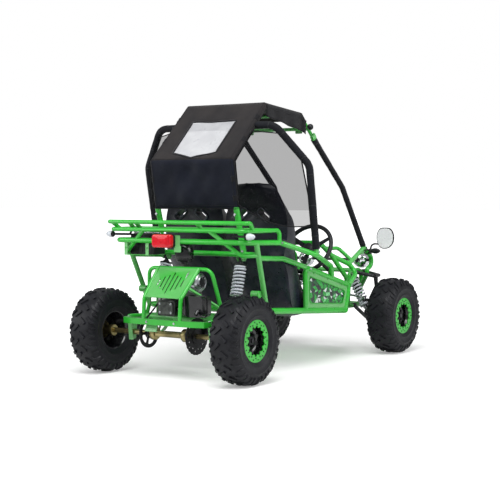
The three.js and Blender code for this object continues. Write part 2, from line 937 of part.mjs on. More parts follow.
// Cargo rack: a low ring, a raised rear rail and its struts
const rackLeg = point(rackFrontHalfWidth, rackFrontY, railShoulderZ + mainTubeRadius / 2);
const rackShoulder = point(rackFrontHalfWidth, rackFrontY, rackZ);
const rackCorner = point(rackHalfWidth, rackY, rackZ);
const rackFrontRailY = canopyPostY + canopyPostRadius + rackTubeRadius + gap;
const rackMiddleY = rackY + rackStrutReach;
const rackTopZ = rackZ + rackRise;
const rackPlans = [
  hoopPlan([rackLeg, rackShoulder, rackCorner], rackTubeRadius, tightBend),
  across(rackFrontHalfWidth, rackFrontRailY, rackZ, rackTubeRadius),
  across(rackHalfWidth, rackMiddleY, rackZ, rackTubeRadius),
  hoopPlan([
    point(rackHalfWidth, rackUpperEndY, rackZ),
    point(rackHalfWidth + rackStep, rackUpperEndY - rackStrutReach, rackTopZ),
    point(rackHalfWidth + rackStep, rackY, rackTopZ),
  ], rackTubeRadius, tightBend),
  ...rackStrutShares.map((share) => plan([
    point(rackHalfWidth * share, rackY, rackTopZ),
    point(rackHalfWidth * share, rackMiddleY, rackZ),
  ], rackTubeRadius)),
];
addPiece('cargo_rack', clearOf(build(rackPlans), rearPlans), green);

// Side frames: shoulder rail down to the panel, seat rail, panel tubes and the pressed panel
const panelBottomRear = onFloorRail(panelBottomRearY);
const panelBottomFront = onFloorRail(panelBottomFrontY);
const panelTopRear = point(floorHalfWidth, panelTopRearY, panelTopRearZ);
const panelTopFront = point(floorHalfWidth, panelTopFrontY, panelTopFrontZ);
const railFoot = between(panelTopRear, panelTopFront,
  (railFootY - panelTopRearY) / (panelTopFrontY - panelTopRearY));
const hoopKnee = point(hoopKneeHalfWidth, hoopKneeY, hoopKneeZ);
const hoopBase = between(railBulge, hoopKnee, (hoopBaseZ - railBulge.z) / (hoopKneeZ - railBulge.z));
const sidePlans = [
  plan([railStart, railBulge, point(railDropHalfWidth, railDropY, railDropZ), railFoot], mainTubeRadius),
  plan([railBulge, hoopBase], stubTubeRadius),
  plan([seatRailRear, seatRailKink, panelTopRear], mainTubeRadius),
  plan([panelBottomRear, panelTopRear, panelTopFront, panelBottomFront], mainTubeRadius, tightBend),
];

function insetOutline(corners, inset) {
  return corners.map((corner, i) => {
    const before = corners[(i + corners.length - 1) % corners.length];
    const after = corners[(i + 1) % corners.length];
    const a = new THREE.Vector2().subVectors(corner, before).normalize();
    const b = new THREE.Vector2().subVectors(after, corner).normalize();
    const inward = new THREE.Vector2(-a.y, a.x).add(new THREE.Vector2(-b.y, b.x)).normalize();
    const reach = inset / Math.cos(Math.acos(THREE.MathUtils.clamp(a.dot(b), -1, 1)) / 2);
    return corner.clone().addScaledVector(inward, reach);
  });
}

const outlineCornerSteps = 2;

function roundedOutline(corners, radius) {
  return corners.flatMap((corner, i) => {
    const before = corners[(i + corners.length - 1) % corners.length];
    const after = corners[(i + 1) % corners.length];
    const from = corner.clone().add(before.clone().sub(corner).setLength(radius));
    const to = corner.clone().add(after.clone().sub(corner).setLength(radius));
    const curve = new THREE.QuadraticBezierCurve(from, corner, to);
    return curve.getPoints(outlineCornerSteps).map((p) => [p.x, p.y]);
  });
}

const panelCorners = [panelBottomRear, panelBottomFront, panelTopFront, panelTopRear].map(
  (place) => new THREE.Vector2(place.y, place.z),
);

// Room for the panel's edge in the frame ahead of it
function panelRoom() {
  const edge = insetOutline(panelCorners, -gap).map((corner) => [corner.x, corner.y]);
  return plate(edge, panelRim + gap + gap, point(floorHalfWidth - panelRim / 2 - gap, 0, 0), forward, up);
}

function pressedPanel() {
  const edge = panelCorners.map((corner) => [corner.x, corner.y]);
  const window = roundedOutline(insetOutline(panelCorners, panelBorder), panelCorner);
  const outer = point(floorHalfWidth - panelRim / 2, 0, 0);
  const border = plate(edge, panelRim, outer, forward, up, [window.slice().reverse()]);
  const back = plate(roundedOutline(insetOutline(panelCorners, panelBorder - overrun), panelCorner), sheetThickness,
    outer, forward, up);
  return join(border, back);
}

const sideFrame = clearOf(join(build(sidePlans), pressedPanel()), [...floorPlans, ...rearPlans, ...rackPlans]);
addPair('side_frame', sideFrame, green);

// Front frame: dash hoop, hip tubes, nose loops, suspension towers, pivot ears and bushing plates
const dashTop = point(dashHalfWidth, dashY, dashZ);
const dashMid = point(dashHalfWidth, dashMidY, dashMidZ);
const dashBend = point(dashFootHalfWidth, dashFootBendY, dashFootZ);

function onNoseRail(y) {
  return between(floorKnee, noseRear, (y - floorKneeY) / (noseRearY - floorKneeY));
}

const dashFoot = onNoseRail(dashFootY);
const hip = point(hipHalfWidth, hipY, hipZ);
const pillarFoot = point(pillarFootHalfWidth, pillarFootY, pillarFootZ);
const hoodStart = between(dashTop, dashMid, (hoodTubeRearY - dashY) / (dashMidY - dashY));
const pillarStayStart = between(dashMid, hip, pillarStayShare);
const pillarStayEnd = pillarFoot;
const towerReach = armSpread + armBushHalfLength + gap + earThickness / 2;
const towerRearY = wheelBase - towerReach;
const towerFrontY = wheelBase + towerReach;
const lowerPivotX = noseHalfWidth + floorTubeRadius + armBushRadius + gap;
const upperPivotX = towerHalfWidth + mainTubeRadius + armBushRadius + gap;
const frontPlans = [
  hoopPlan([dashFoot, dashBend, dashMid, dashTop], mainTubeRadius),
  ...bothSides(plan([panelTopFront, hip, dashMid], mainTubeRadius)),
  ...bothSides(plan([pillarStayStart, pillarStayEnd], mainTubeRadius)),
  ...bothSides(plan([
    hoodStart,
    point(hoodTubeHalfWidth, hoodTubeY, hoodTubeZ),
    point(hoodTubeHalfWidth, hoodTubeFrontY, hoodTubeZ),
    between(pillarStayStart, pillarStayEnd, hoodTubeEndShare),
  ], rackTubeRadius)),
  ...bothSides(plan([
    pillarFoot,
    point(noseLoopHalfWidth, noseLoopY, noseLoopTopZ),
    point(noseLoopHalfWidth, noseLoopY, noseLoopLowZ),
    point(noseLoopHalfWidth, noseLoopBackY, noseLoopBackZ),
    point(noseLoopHalfWidth, noseLoopBackY, noseLoopTailZ),
    point(towerHalfWidth, towerFrontY, noseLoopFootZ),
  ], mainTubeRadius)),
  ...bothSides(plan([
    point(noseHalfWidth, towerRearY, noseZ),
    point(towerHalfWidth, towerRearY, towerTopZ),
    point(towerHalfWidth, towerFrontY, towerTopZ),
    point(noseHalfWidth, towerFrontY, noseZ),
  ], mainTubeRadius)),
  across(towerHalfWidth, (towerRearY + towerFrontY) / 2, towerTopZ, mainTubeRadius),
  across(towerHalfWidth, towerFrontY, noseLoopFootZ, mainTubeRadius),
];

// An ear outside each bush of an arm, carried by a tube at heldX, and one long pin through both bushes
function armEars(pivotX, pivotZHere, heldX, heldZ) {
  const reach = armSpread + armBushHalfLength + gap;
  const outline = [
    [heldX, heldZ - earThickness], [pivotX, pivotZHere - earThickness],
    [pivotX + earThickness, pivotZHere], [pivotX, pivotZHere + earThickness], [heldX, heldZ + earThickness],
  ];
  const ears = [wheelBase - reach, wheelBase + reach + earThickness].map(
    (y) => plate(outline, earThickness, point(0, y, 0), right, up),
  );
  const pin = rod(point(pivotX, wheelBase - reach - overrun, pivotZHere),
    point(pivotX, wheelBase + reach + overrun, pivotZHere), armPinRadius, thinTubeSides);
  return [...ears, pin];
}

const frontShockTop = point(frontShockTopX, frontShockY, frontShockTopZ);
const frontShockBottom = point(frontShockBottomX, frontShockY, frontShockBottomZ);

// Ears for a shock eye whose bolt runs along Y, reaching to a holder placed sideways and up or down
function shockEarsAlongY(eye, holder) {
  const half = shockEyeHalfLength + gap;
  const outward = holder.clone().sub(eye);
  const outline = [
    [eye.x - shockEyeRadius, eye.z], [eye.x, eye.z - Math.sign(outward.z) * shockEyeRadius],
    [eye.x + shockEyeRadius, eye.z], [holder.x + shockEyeRadius, holder.z], [holder.x - shockEyeRadius, holder.z],
  ];
  const ears = [-1, 1].map((side) => {
    const y = side > 0 ? eye.y + half + earThickness : eye.y - half;
    return plate(outline, earThickness, point(0, y, 0), right, up);
  });
  const bolt = rod(point(eye.x, eye.y - half - overrun, eye.z), point(eye.x, eye.y + half + overrun, eye.z),
    shockBoltRadius, thinTubeSides);
  return join(ears, bolt);
}

const frontMounts = join(
  armEars(lowerPivotX, lowerPivotZ, noseHalfWidth, noseZ),
  armEars(upperPivotX, upperPivotZ, towerHalfWidth, upperPivotZ - earThickness),
  shockEarsAlongY(frontShockTop, point(towerHalfWidth, frontShockY, towerTopZ)),
);

// Steering places: the column slopes down and forward from the wheel to a joint, then runs to the rack
const columnWay = point(0, Math.cos(THREE.MathUtils.degToRad(columnAngle)),
  -Math.sin(THREE.MathUtils.degToRad(columnAngle)));
const steeringCentre = point(steeringX, steeringY, steeringZ);
const columnEnd = steeringCentre.clone().addScaledVector(columnWay, columnLength);
const shaftStart = columnEnd.clone().addScaledVector(columnWay, jointBallRadius + gap);
const pinionPlace = point(pinionX, rackBarY, rackBarZ + rackBarRadius + pinionRadius + gap);
const shaftWay = pinionPlace.clone().sub(shaftStart).normalize();

function bushingPlate(centre, way, holder, boreRadius) {
  const side = right;
  const rise = side.clone().cross(way).normalize();
  const reach = holder.clone().sub(centre);
  const lift = reach.dot(rise);
  const edge = boreRadius + earThickness;
  const outline = [
    [-edge, -edge], [edge, -edge], [edge, lift], [-edge, lift],
  ];
  const body = plate(outline, earThickness, centre.clone().addScaledVector(way, earThickness / 2), side, rise);
  const from = centre.clone().addScaledVector(way, -earThickness);
  return cut(body, bore(from, centre.clone().addScaledVector(way, earThickness), boreRadius, fitSides));
}

const columnHeld = steeringCentre.clone().addScaledVector(columnWay,
  point(steeringX, dashY, dashZ).sub(steeringCentre).dot(columnWay));
const columnPlate = bushingPlate(columnHeld, columnWay, point(steeringX, dashY, dashZ), columnRadius + gap);

const frontParts = join(build(frontPlans), frontMounts, otherSide(frontMounts), columnPlate);
const frontFrame = clearOf(frontParts, [...floorPlans, ...sidePlans.flatMap(bothSides)]);
addPiece('front_frame', cut(frontFrame, panelRoom(), otherSide(panelRoom())), green);

// Canopy frame: thin bows over the roof and sleeved pillars down to the front frame
const canopyHem = point(canopyPostHalfWidth, canopyHemY, canopyHemZ + gap);
const canopyKnee = point(canopyPostHalfWidth, canopyKneeY, canopyKneeZ);
const roofRear = point(roofRearHalfWidth, roofRearY, roofRearZ);
const roofFront = point(roofFrontHalfWidth, roofFrontY, roofFrontZ);
const header = point(headerHalfWidth, headerY, headerZ);
const pillarTop = point(pillarTopHalfWidth, pillarTopY, pillarTopZ);
const bowPlans = [
  ...bothSides(plan([canopyHem, canopyKnee, roofRear, roofFront, header, pillarTop], canopyTubeRadius)),
  ...[canopyKnee, roofRear, roofFront, header].map(
    (place) => across(place.x, place.y, place.z, canopyTubeRadius),
  ),
];
const canopyPlans = [
  ...bowPlans,
  ...bothSides(plan([
    pillarTop, point(pillarMidHalfWidth, pillarMidY, pillarMidZ), pillarFoot,
  ], pillarSleeveRadius)),
];
addPiece('canopy_frame', clearOf(build(canopyPlans), [...rearPlans, ...rackPlans, ...frontPlans]), black);

// Roll hoop: one padded tube between the side frames' stubs, notched where it carries the bows
const hoopPlans = [hoopPlan([
  hoopBase.clone().add(hoopKnee.clone().sub(hoopBase).setLength(gap)),
  hoopKnee,
  point(hoopTopHalfWidth, hoopTopY, hoopTopZ),
], hoopPadRadius, hoopBend)];
addPiece('roll_hoop', clearOf(build(hoopPlans), bowPlans), foam);

// Canopy cover: one cloth from the rear hem over the roof to the header, its sides folded round the bows
const clothReach = canopyTubeRadius + gap;
const clothStationShares = [
  [0, [clothHemShare, 0.3, 0.5, 0.75]],
  [1, [0, 0.45]],
  [2, [0, 0.25, 0.5, 0.75]],
  [3, [0, 0.6]],
  [4, [0, 0.7]],
];
const clothColumnShares = [-0.5, 0, 0.5];
const clothCornerShares = [1.05, 0.45];
const foldWaves = 3;
const clothLine = [canopyHem, canopyKnee, roofRear, roofFront, header, pillarTop];

function outwardAt(way) {
  return right.clone().cross(point(0, way.y, way.z).normalize());
}

// The cloth keeps its distance from the bows on both sides of a bend
function clothNormal(run, share) {
  const here = outwardAt(clothLine[run + 1].clone().sub(clothLine[run]));
  if (share > 0 || run === 0) {
    return here;
  }
  const before = outwardAt(clothLine[run].clone().sub(clothLine[run - 1]));
  const middle = here.add(before);
  return middle.multiplyScalar(2 / middle.lengthSq());
}

function clothRow(run, share) {
  const centre = between(clothLine[run], clothLine[run + 1], share);
  const out = clothNormal(run, share);
  const [wide, narrow] = clothCornerShares;
  const place = (x, lift) => point(x, centre.y, centre.z).addScaledVector(out, lift);
  const half = centre.x;
  const edge = [
    place(half + wide * clothReach, -clothFlap),
    place(half + wide * clothReach, narrow * clothReach),
    place(half + narrow * clothReach, wide * clothReach),
  ];
  const sag = run === 2 ? clothSag * Math.sin(Math.PI * share) : 0;
  const fold = run === 0 && share > clothHemShare ? clothFold : 0;
  const middle = clothColumnShares.map((column) => {
    const arch = Math.cos((Math.PI * column) / 2);
    const wave = Math.cos(Math.PI * (foldWaves * column + 2 * share));
    return place(column * half, wide * clothReach - sag * arch + fold * arch * (1 + wave) / 2);
  });
  return [...mirrored(edge), ...middle, ...edge.slice().reverse()];
}

const clothRows = clothStationShares.flatMap(([run, shares]) => shares.map((share) => clothRow(run, share)));
const cover = clearOf(sheet(clothRows, clothThickness), hoopPlans);
addPiece('canopy_cover', cover, cloth);

// Side nets: thin wings between the canopy's edge and the hoop
const netInset = clothCornerShares[0] * clothReach + clothThickness + gap;
const hoopBaseTop = hoopPlans[0].corners[0];
const hoopSide = between(hoopBaseTop, hoopPlans[0].corners[1],
  (netLowHoopZ - hoopBaseZ) / (hoopKneeZ - hoopBaseZ));
const netPairs = [
  [between(canopyHem, canopyKnee, clothHemShare), hoopSide],
  [between(canopyHem, canopyKnee, netMidShares[0]), between(hoopSide, hoopPlans[0].corners[1], netMidShares[1])],
  [canopyKnee, between(hoopPlans[0].corners[1], hoopPlans[0].corners[2], netMidShares[2])],
  [between(canopyKnee, roofRear, netTopShares[0]),
    between(hoopPlans[0].corners[1], hoopPlans[0].corners[2], netTopShares[1])],
];
const netColumnShares = [0, 0.5, 1];
const netRows = netPairs.map(([inner, outer]) => {
  const near = inner.clone().setX(inner.x + netInset);
  const far = outer.clone().add(near.clone().sub(outer).setLength(hoopPadRadius + gap + gap));
  return netColumnShares.map((share) => between(near, far, share));
});
const net = clearOf(sheet(netRows, netThickness), [...hoopPlans, ...bowPlans]);
addPair('side_net', net.subtract(cover), mesh);

// Wheels: a hollow tyre with chevron lugs that stands on the flat of one, on a rim with its scalloped bead ring
const tyreRadius = tyreDiameter / 2;
const rimRadius = rimDiameter / 2;
const wheelColumns = lugCount * lugColumns;
const treadShares = [[-1, 0.55], [-0.84, 0.93], [-0.32, 1], [0.32, 1], [0.84, 0.93], [1, 0.55]];
const innerShares = [[0.7, 0.8], [-0.7, 0.8]];

// Each ring's lugs trail those of the ring nearer the middle, which draws the chevrons
function lugLift(row, column) {
  const trail = Math.floor(Math.abs(row - (treadShares.length - 1) / 2));
  return (column + trail) % lugColumns < lugColumns - 1 ? lugHeight : 0;
}

function tyreSolid() {
  const half = tyreWidth / 2;
  const cornerShare = 1 / Math.cos(Math.PI / wheelColumns);
  const beadRadius = rimRadius + gap;
  const beadOuter = rimWidth / 2 - rimWall - gap;
  const rings = [];
  rings.push({ a: -beadOuter, r: beadRadius });
  treadShares.forEach(([a, r], row) => rings.push({
    a: a * half, r: r * (tyreRadius - beadRadius) + beadRadius - lugHeight, row,
  }));
  rings.push({ a: beadOuter, r: beadRadius });
  rings.push({ a: beadOuter - beadWidth, r: beadRadius });
  innerShares.forEach(([a, r]) => rings.push({
    a: a * (half - tyreWall), r: r * (tyreRadius - beadRadius) + beadRadius - lugHeight,
  }));
  rings.push({ a: beadWidth - beadOuter, r: beadRadius });
  const corners = [];
  for (const ring of rings) {
    for (let k = 0; k < wheelColumns; k += 1) {
      const angle = (2 * Math.PI * (k - 0.5)) / wheelColumns - Math.PI / 2;
      const r = cornerShare * (ring.r + (ring.row === undefined ? 0 : lugLift(ring.row, k)));
      corners.push(ring.a, r * Math.cos(angle), r * Math.sin(angle));
    }
  }
  const faces = [];
  rings.forEach((ring, i) => {
    const next = (i + 1) % rings.length;
    for (let k = 0; k < wheelColumns; k += 1) {
      const after = (k + 1) % wheelColumns;
      const [p, q] = [i * wheelColumns + k, i * wheelColumns + after];
      const [r, t] = [next * wheelColumns + after, next * wheelColumns + k];
      faces.push(p, q, r, p, r, t);
    }
  });
  const geometry = new THREE.BufferGeometry();
  geometry.setAttribute('position', new THREE.Float32BufferAttribute(corners, 3));
  geometry.setIndex(faces);
  return toSolid(geometry);
}

function beadRing() {
  const outer = rimRadius + rimFlange;
  const inner = outer - beadRingWidth;
  const outline = [];
  const lobe = (2 * Math.PI) / beadRingLobes;
  for (let k = 0; k < beadRingLobes; k += 1) {
    for (const [share, radius] of [[0, outer], [0.5, outer - beadRingNotch]]) {
      const angle = (k + share) * lobe;
      outline.push([radius * Math.cos(angle), radius * Math.sin(angle)]);
    }
  }
  const hole = [];
  for (let k = 0; k < beadRingLobes; k += 1) {
    hole.push([inner * Math.cos(-k * lobe), inner * Math.sin(-k * lobe)]);
  }
  return plate(outline, beadRingThickness, point(rimWidth / 2 - overrun / 2, 0, 0), forward, up, [hole]);
}

// The rim's disc sits rimDiscInset behind the outer face; a front rim also has its bearing hub
function rimSolid(boreRadius, hubRadius, hubLength) {
  const half = rimWidth / 2;
  const flange = rimRadius + rimFlange;
  const inner = rimRadius - rimWall;
  const disc = half - rimDiscInset;
  const hub = hubLength > 0 ? [[boreRadius, disc - hubLength], [hubRadius, disc - hubLength], [hubRadius, disc]]
    : [[boreRadius, disc]];
  const profile = [
    [flange, -half], [rimRadius, rimWall - half], [rimRadius, half - rimWall],
    [flange, half], [inner, half], [inner, disc + rimDiscThickness],
    [boreRadius, disc + rimDiscThickness], ...hub, [inner, disc], [inner, -half], [flange, -half],
  ];
  return join(turned(profile, point(0, 0, 0), right, rimSegments), beadRing());
}

function moved(solid, x, y, z) {
  return changed(solid, (geometry) => geometry.translate(x, y, z));
}

const tyre = tyreSolid();
addPair('rear_tyre', moved(tyre, rearTrack / 2, 0, axleZ), rubber);
addPair('front_tyre', moved(tyre, frontTrack / 2, wheelBase, axleZ), rubber);
const roundShare = 1 / Math.cos(Math.PI / rimSegments);
const rearRim = rimSolid((axleShaftRadius + gap) * roundShare, 0, 0);
const frontRim = rimSolid((spindleRadius + gap) * roundShare, frontHubRadius, frontHubLength);
addPair('rear_rim', moved(rearRim, rearTrack / 2, 0, axleZ), green);
addPair('front_rim', moved(frontRim, frontTrack / 2, wheelBase, axleZ), green);

// Front suspension: two arms, the kingpin bracket between their ends, and the knuckle that turns on it
const lowerBall = point(lowerBallX, wheelBase, lowerBallZ);
const upperBall = point(upperBallX, wheelBase, upperBallZ);
const kingWay = upperBall.clone().sub(lowerBall).normalize();
const kingSide = forward.clone().cross(kingWay);

function onKingpin(distance, sideways = 0) {
  return lowerBall.clone().addScaledVector(kingWay, distance).addScaledVector(kingSide, sideways);
}

function hollowRod(from, to, radius, boreRadius, sides = smallSides) {
  const way = to.clone().sub(from).setLength(overrun);
  return cut(rod(from, to, radius, sides), bore(from.clone().sub(way), to.clone().add(way), boreRadius, sides));
}

function bushAlongY(centre, half, radius) {
  return rod(point(centre.x, centre.y - half, centre.z), point(centre.x, centre.y + half, centre.z), radius);
}

// An arm with two bushes at the frame and a pin along Y between the ends of its legs
function wishbone(pivotX, pivotZHere, ball, endSpread) {
  const bushes = [-1, 1].map((end) => rod(
    point(pivotX, wheelBase + end * armSpread - armBushHalfLength, pivotZHere),
    point(pivotX, wheelBase + end * armSpread + armBushHalfLength, pivotZHere), armBushRadius,
  ));
  const legs = [-1, 1].map((end) => {
    const start = point(pivotX, wheelBase + end * armSpread, pivotZHere);
    const finish = ball.clone().setY(wheelBase + end * endSpread);
    return tube([start.lerp(finish, armBushRadius / start.distanceTo(finish)), finish], armTubeRadius, tubeBend, thinTubeSides);
  });
  const pin = rod(ball.clone().setY(wheelBase - endSpread), ball.clone().setY(wheelBase + endSpread), armPinRadius, smallSides);
  const bores = [-1, 1].map((end) => {
    const middle = wheelBase + end * armSpread;
    const half = armBushHalfLength + overrun;
    return bore(point(pivotX, middle - half, pivotZHere), point(pivotX, middle + half, pivotZHere),
      armPinRadius + gap, thinTubeSides);
  });
  return cut(join(bushes, legs, pin), bores);
}

const lowerEndSpread = ballHalfLength + armTubeRadius + pivotGap;
const upperEndSpread = upperBushHalfLength + armTubeRadius + pivotGap + pivotGap;
const lowerPivot = point(lowerPivotX, wheelBase, lowerPivotZ);
const armCross = between(lowerPivot, lowerBall, armCrossShare);
const armCrossHalf = armSpread + (lowerEndSpread - armSpread) * armCrossShare;
const lowerArm = join(
  wishbone(lowerPivotX, lowerPivotZ, lowerBall, lowerEndSpread),
  tube([armCross.clone().setY(wheelBase - armCrossHalf), armCross.clone().setY(wheelBase + armCrossHalf)],
    armTubeRadius, tubeBend, thinTubeSides),
  shockEarsAlongY(frontShockBottom, armCross),
);
addPair('lower_arm', lowerArm, black);
addPair('upper_arm', wishbone(upperPivotX, upperPivotZ, upperBall, upperEndSpread), black);

const kingLow = ballBushRadius - overrun;
const kingHigh = kingLow + kingpinSpan;
const housingLow = kingLow + bracketPlate + gap;
const housingHigh = kingHigh - gap;

function kingpinPlate(distance) {
  const outline = [
    [-strapReach, -bracketHalfDepth], [0, -bracketHalfDepth], [bracketHalfDepth, 0], [0, bracketHalfDepth],
    [-strapReach, bracketHalfDepth],
  ];
  return plate(outline, bracketPlate, onKingpin(distance), kingSide, forward);
}

const kingStrap = plate([
  [-bracketHalfDepth, kingLow], [bracketHalfDepth, kingLow],
  [bracketHalfDepth, kingHigh + bracketPlate], [-bracketHalfDepth, kingHigh + bracketPlate],
], bracketPlate, lowerBall.clone().addScaledVector(kingSide, -strapReach), forward, kingWay);
const kingBracket = join(
  bushAlongY(lowerBall, ballHalfLength, ballBushRadius),
  kingpinPlate(kingLow),
  kingpinPlate(kingHigh),
  kingStrap,
  rod(onKingpin(kingLow), onKingpin(kingHigh + overrun), kingpinRadius),
  bushAlongY(upperBall, upperBushHalfLength, ballBushRadius),
  [-1, 1].map((end) => tube([
    onKingpin(kingHigh + bracketPlate - overrun), upperBall.clone().setY(wheelBase + end * (upperBushHalfLength - legRadius)),
  ], legRadius, tubeBend, thinTubeSides)),
);
const kingCutters = [
  bore(point(lowerBallX, wheelBase - ballHalfLength - overrun, lowerBallZ),
    point(lowerBallX, wheelBase + ballHalfLength + overrun, lowerBallZ), armPinRadius + gap, thinTubeSides),
  bore(point(upperBallX, wheelBase - upperBushHalfLength - overrun, upperBallZ),
    point(upperBallX, wheelBase + upperBushHalfLength + overrun, upperBallZ), armPinRadius + pivotGap, thinTubeSides),
];
addPair('kingpin_bracket', cut(kingBracket, kingCutters), black);

const spindleRoot = onKingpin((spindleZ - lowerBallZ) / kingWay.z);
const hubInnerX = frontTrack / 2 + rimWidth / 2 - rimDiscInset - frontHubLength;
const spindleEndX = frontTrack / 2 + rimWidth / 2 - rimDiscInset + rimDiscThickness + spindleStub;
const steerRoot = onKingpin(kingHigh - steerArmRadius - pivotGap);
const steerTip = point(steerArmX, wheelBase - steerArmLength, steerRoot.z);
const steerArmTop = steerTip.z + steerArmRadius;
const knuckle = cut(
  join(
    rod(onKingpin(housingLow), onKingpin(housingHigh), spindleHousingRadius),
    rod(spindleRoot, spindleRoot.clone().setX(spindleEndX), spindleRadius),
    rod(spindleRoot, spindleRoot.clone().setX(hubInnerX - gap), frontHubRadius - overrun),
    tube([steerRoot, steerTip], steerArmRadius, tubeBend, thinTubeSides),
    rod(steerTip.clone().setZ(steerTip.z - steerArmRadius), steerTip.clone().setZ(steerArmTop),
      steerEyeRadius, smallSides),
    rod(steerTip, steerTip.clone().setZ(steerArmTop + tieEyeHeight + overrun), armPinRadius, smallSides),
  ),
  bore(onKingpin(kingLow), onKingpin(kingHigh + bracketPlate), kingpinRadius + gap),
);
addPair('knuckle', knuckle, black);

const tieOuter = steerTip.clone().setZ(steerArmTop + gap + tieEyeHeight / 2);
const tieInner = point(rackBarHalfLength + tieEyeRadius + tieEndGap, rackBarY, rackBarZ);
const tieEyeLow = tieOuter.clone().setZ(tieOuter.z - tieEyeHeight / 2);
const tieEyeHigh = tieOuter.clone().setZ(tieOuter.z + tieEyeHeight / 2);
const tieWay = tieInner.clone().sub(tieOuter).normalize();
const tieRod = cut(
  join(
    rod(tieEyeLow, tieEyeHigh, tieEyeRadius, smallSides),
    rod(tieOuter.clone().addScaledVector(tieWay, armPinRadius), tieInner, tieRodRadius, smallSides),
    rod(tieInner.clone().setX(tieInner.x - tieEyeRadius), tieInner.clone().setX(tieInner.x + tieEyeRadius),
      tieEyeRadius, smallSides),
  ),
  bore(tieEyeLow.clone().setZ(tieEyeLow.z - overrun), tieEyeHigh.clone().setZ(tieEyeHigh.z + overrun),
    armPinRadius + gap, thinTubeSides),
);
addPair('tie_rod', tieRod, steel);

// Shock absorbers: a body with the upper cap, a rod with the lower cap, and one coil spring between the caps
function eyeAt(centre, way, boreRadius) {
  const half = way.clone().setLength(shockEyeHalfLength);
  const past = way.clone().setLength(shockEyeHalfLength + overrun);
  return {
    eye: rod(centre.clone().sub(half), centre.clone().add(half), shockEyeRadius),
    hole: bore(centre.clone().sub(past), centre.clone().add(past), boreRadius, thinTubeSides),
  };
}

// A coil round the line from start along way; its ends leave the first and last curl square to the caps
function coil(start, way, sideways, length) {
  const turnWay = way.clone().cross(sideways).normalize();
  const wire = springWireRadius;
  const lead = springEndShare * wire;
  const curlSpan = length - 2 * lead;
  const stations = [{ height: 0, angle: 0, tilt: 0 }, { height: 2 * wire, angle: 0, tilt: 0 }];
  const steps = Math.round(springTurns * springSteps);
  for (let k = 0; k <= steps; k += 1) {
    const share = k / steps;
    stations.push({ height: lead + curlSpan * share, angle: springLeadAngle + 2 * Math.PI * springTurns * share,
      tilt: Math.atan2(2 * Math.PI * springRadius * springTurns, curlSpan) });
  }
  const lastAngle = 2 * springLeadAngle + 2 * Math.PI * springTurns;
  stations.push({ height: length - 2 * wire, angle: lastAngle, tilt: 0 });
  stations.push({ height: length, angle: lastAngle, tilt: 0 });
  const corners = [];
  for (const { height, angle, tilt } of stations) {
    const out = sideways.clone().multiplyScalar(Math.cos(angle)).addScaledVector(turnWay, Math.sin(angle));
    const round = way.clone().cross(out);
    const centre = start.clone().addScaledVector(way, height).addScaledVector(out, springRadius);
    const lift = way.clone().multiplyScalar(-Math.sin(tilt)).addScaledVector(round, Math.cos(tilt));
    for (let j = 0; j < springSides; j += 1) {
      const turn = (2 * Math.PI * j) / springSides;
      corners.push(centre.clone().addScaledVector(out, wire * Math.cos(turn)).addScaledVector(lift, wire * Math.sin(turn)));
    }
  }
  return { corners, stations };
}

function coilSolid({ corners, stations }) {
  const faces = [];
  const last = (stations.length - 1) * springSides;
  for (let i = 0; i + 1 < stations.length; i += 1) {
    for (let j = 0; j < springSides; j += 1) {
      const k = (j + 1) % springSides;
      const [p, q] = [i * springSides + j, i * springSides + k];
      faces.push(p, q, q + springSides, p, q + springSides, p + springSides);
    }
  }
  for (let j = 1; j + 1 < springSides; j += 1) {
    faces.push(0, j + 1, j, last, last + j, last + j + 1);
  }
  const geometry = new THREE.BufferGeometry();
  geometry.setAttribute('position', new THREE.Float32BufferAttribute(corners.flatMap((p) => p.toArray()), 3));
  geometry.setIndex(faces);
  return toSolid(geometry);
}

// The least distance between points of the coil that lie more than half a curl apart
function leastGap({ corners }) {
  const apart = (springSteps * springSides) / 2;
  let least = Infinity;
  for (let i = 0; i < corners.length; i += 1) {
    for (let j = i + apart + springSides; j < corners.length; j += 1) {
      least = Math.min(least, corners[i].distanceTo(corners[j]));
    }
  }
  return least;
}

function addShock(name, top, bottom, eyeWay) {
  const way = bottom.clone().sub(top).normalize();
  const length = top.distanceTo(bottom);
  const along = (distance) => top.clone().addScaledVector(way, distance);
  const upper = eyeAt(top, eyeWay, shockBoltRadius + gap);
  const bodyEnd = length * shockBodyShare;
  const body = cut(
    join(upper.eye, rod(along(shockBoltRadius), along(shockEyeRadius + 2 * overrun), shockNeckRadius),
      rod(along(shockEyeRadius + overrun), along(bodyEnd), shockBodyRadius),
      rod(along(shockCapReach - shockCapThickness), along(shockCapReach), shockCapRadius, capSides)),
    upper.hole,
    bore(along(shockCapReach), along(bodyEnd + overrun), shockRodRadius + pivotGap),
  );
  const lower = eyeAt(bottom, eyeWay, shockBoltRadius + pivotGap + pivotGap);
  const shaft = cut(
    join(lower.eye, rod(along(length - shockBoltRadius), along(shockCapReach + shockTravel), shockRodRadius),
      rod(along(length - shockCapReach), along(length - shockCapReach + shockCapThickness), shockCapRadius, capSides)),
    lower.hole,
  );
  const spring = coil(along(shockCapReach + gap), way, eyeWay, length - 2 * (shockCapReach + gap));
  addPair(`${name}_shock_body`, body, black);
  addPair(`${name}_shock_rod`, shaft, steel);
  addPair(`${name}_spring`, coilSolid(spring), whiteCoat);
  return leastGap(spring);
}

const springGaps = [
  addShock('rear', rearShockTop, rearShockBottom, right),
  addShock('front', frontShockTop, frontShockBottom, forward),
];
console.log(`Least gap between curls: ${springGaps.map((value) => value.toFixed(2)).join(' and ')} mm`);

// Rear cradle: swinging rails, bumper band, guard hoop with its slotted plate, and the axle hangers
const cradlePivot = point(cradleHalfWidth, pivotY, pivotZ);
const cradleRear = point(cradleHalfWidth, 0, cradleZ);
const cradleEnd = point(cradleHalfWidth, cradleEndY, cradleZ);

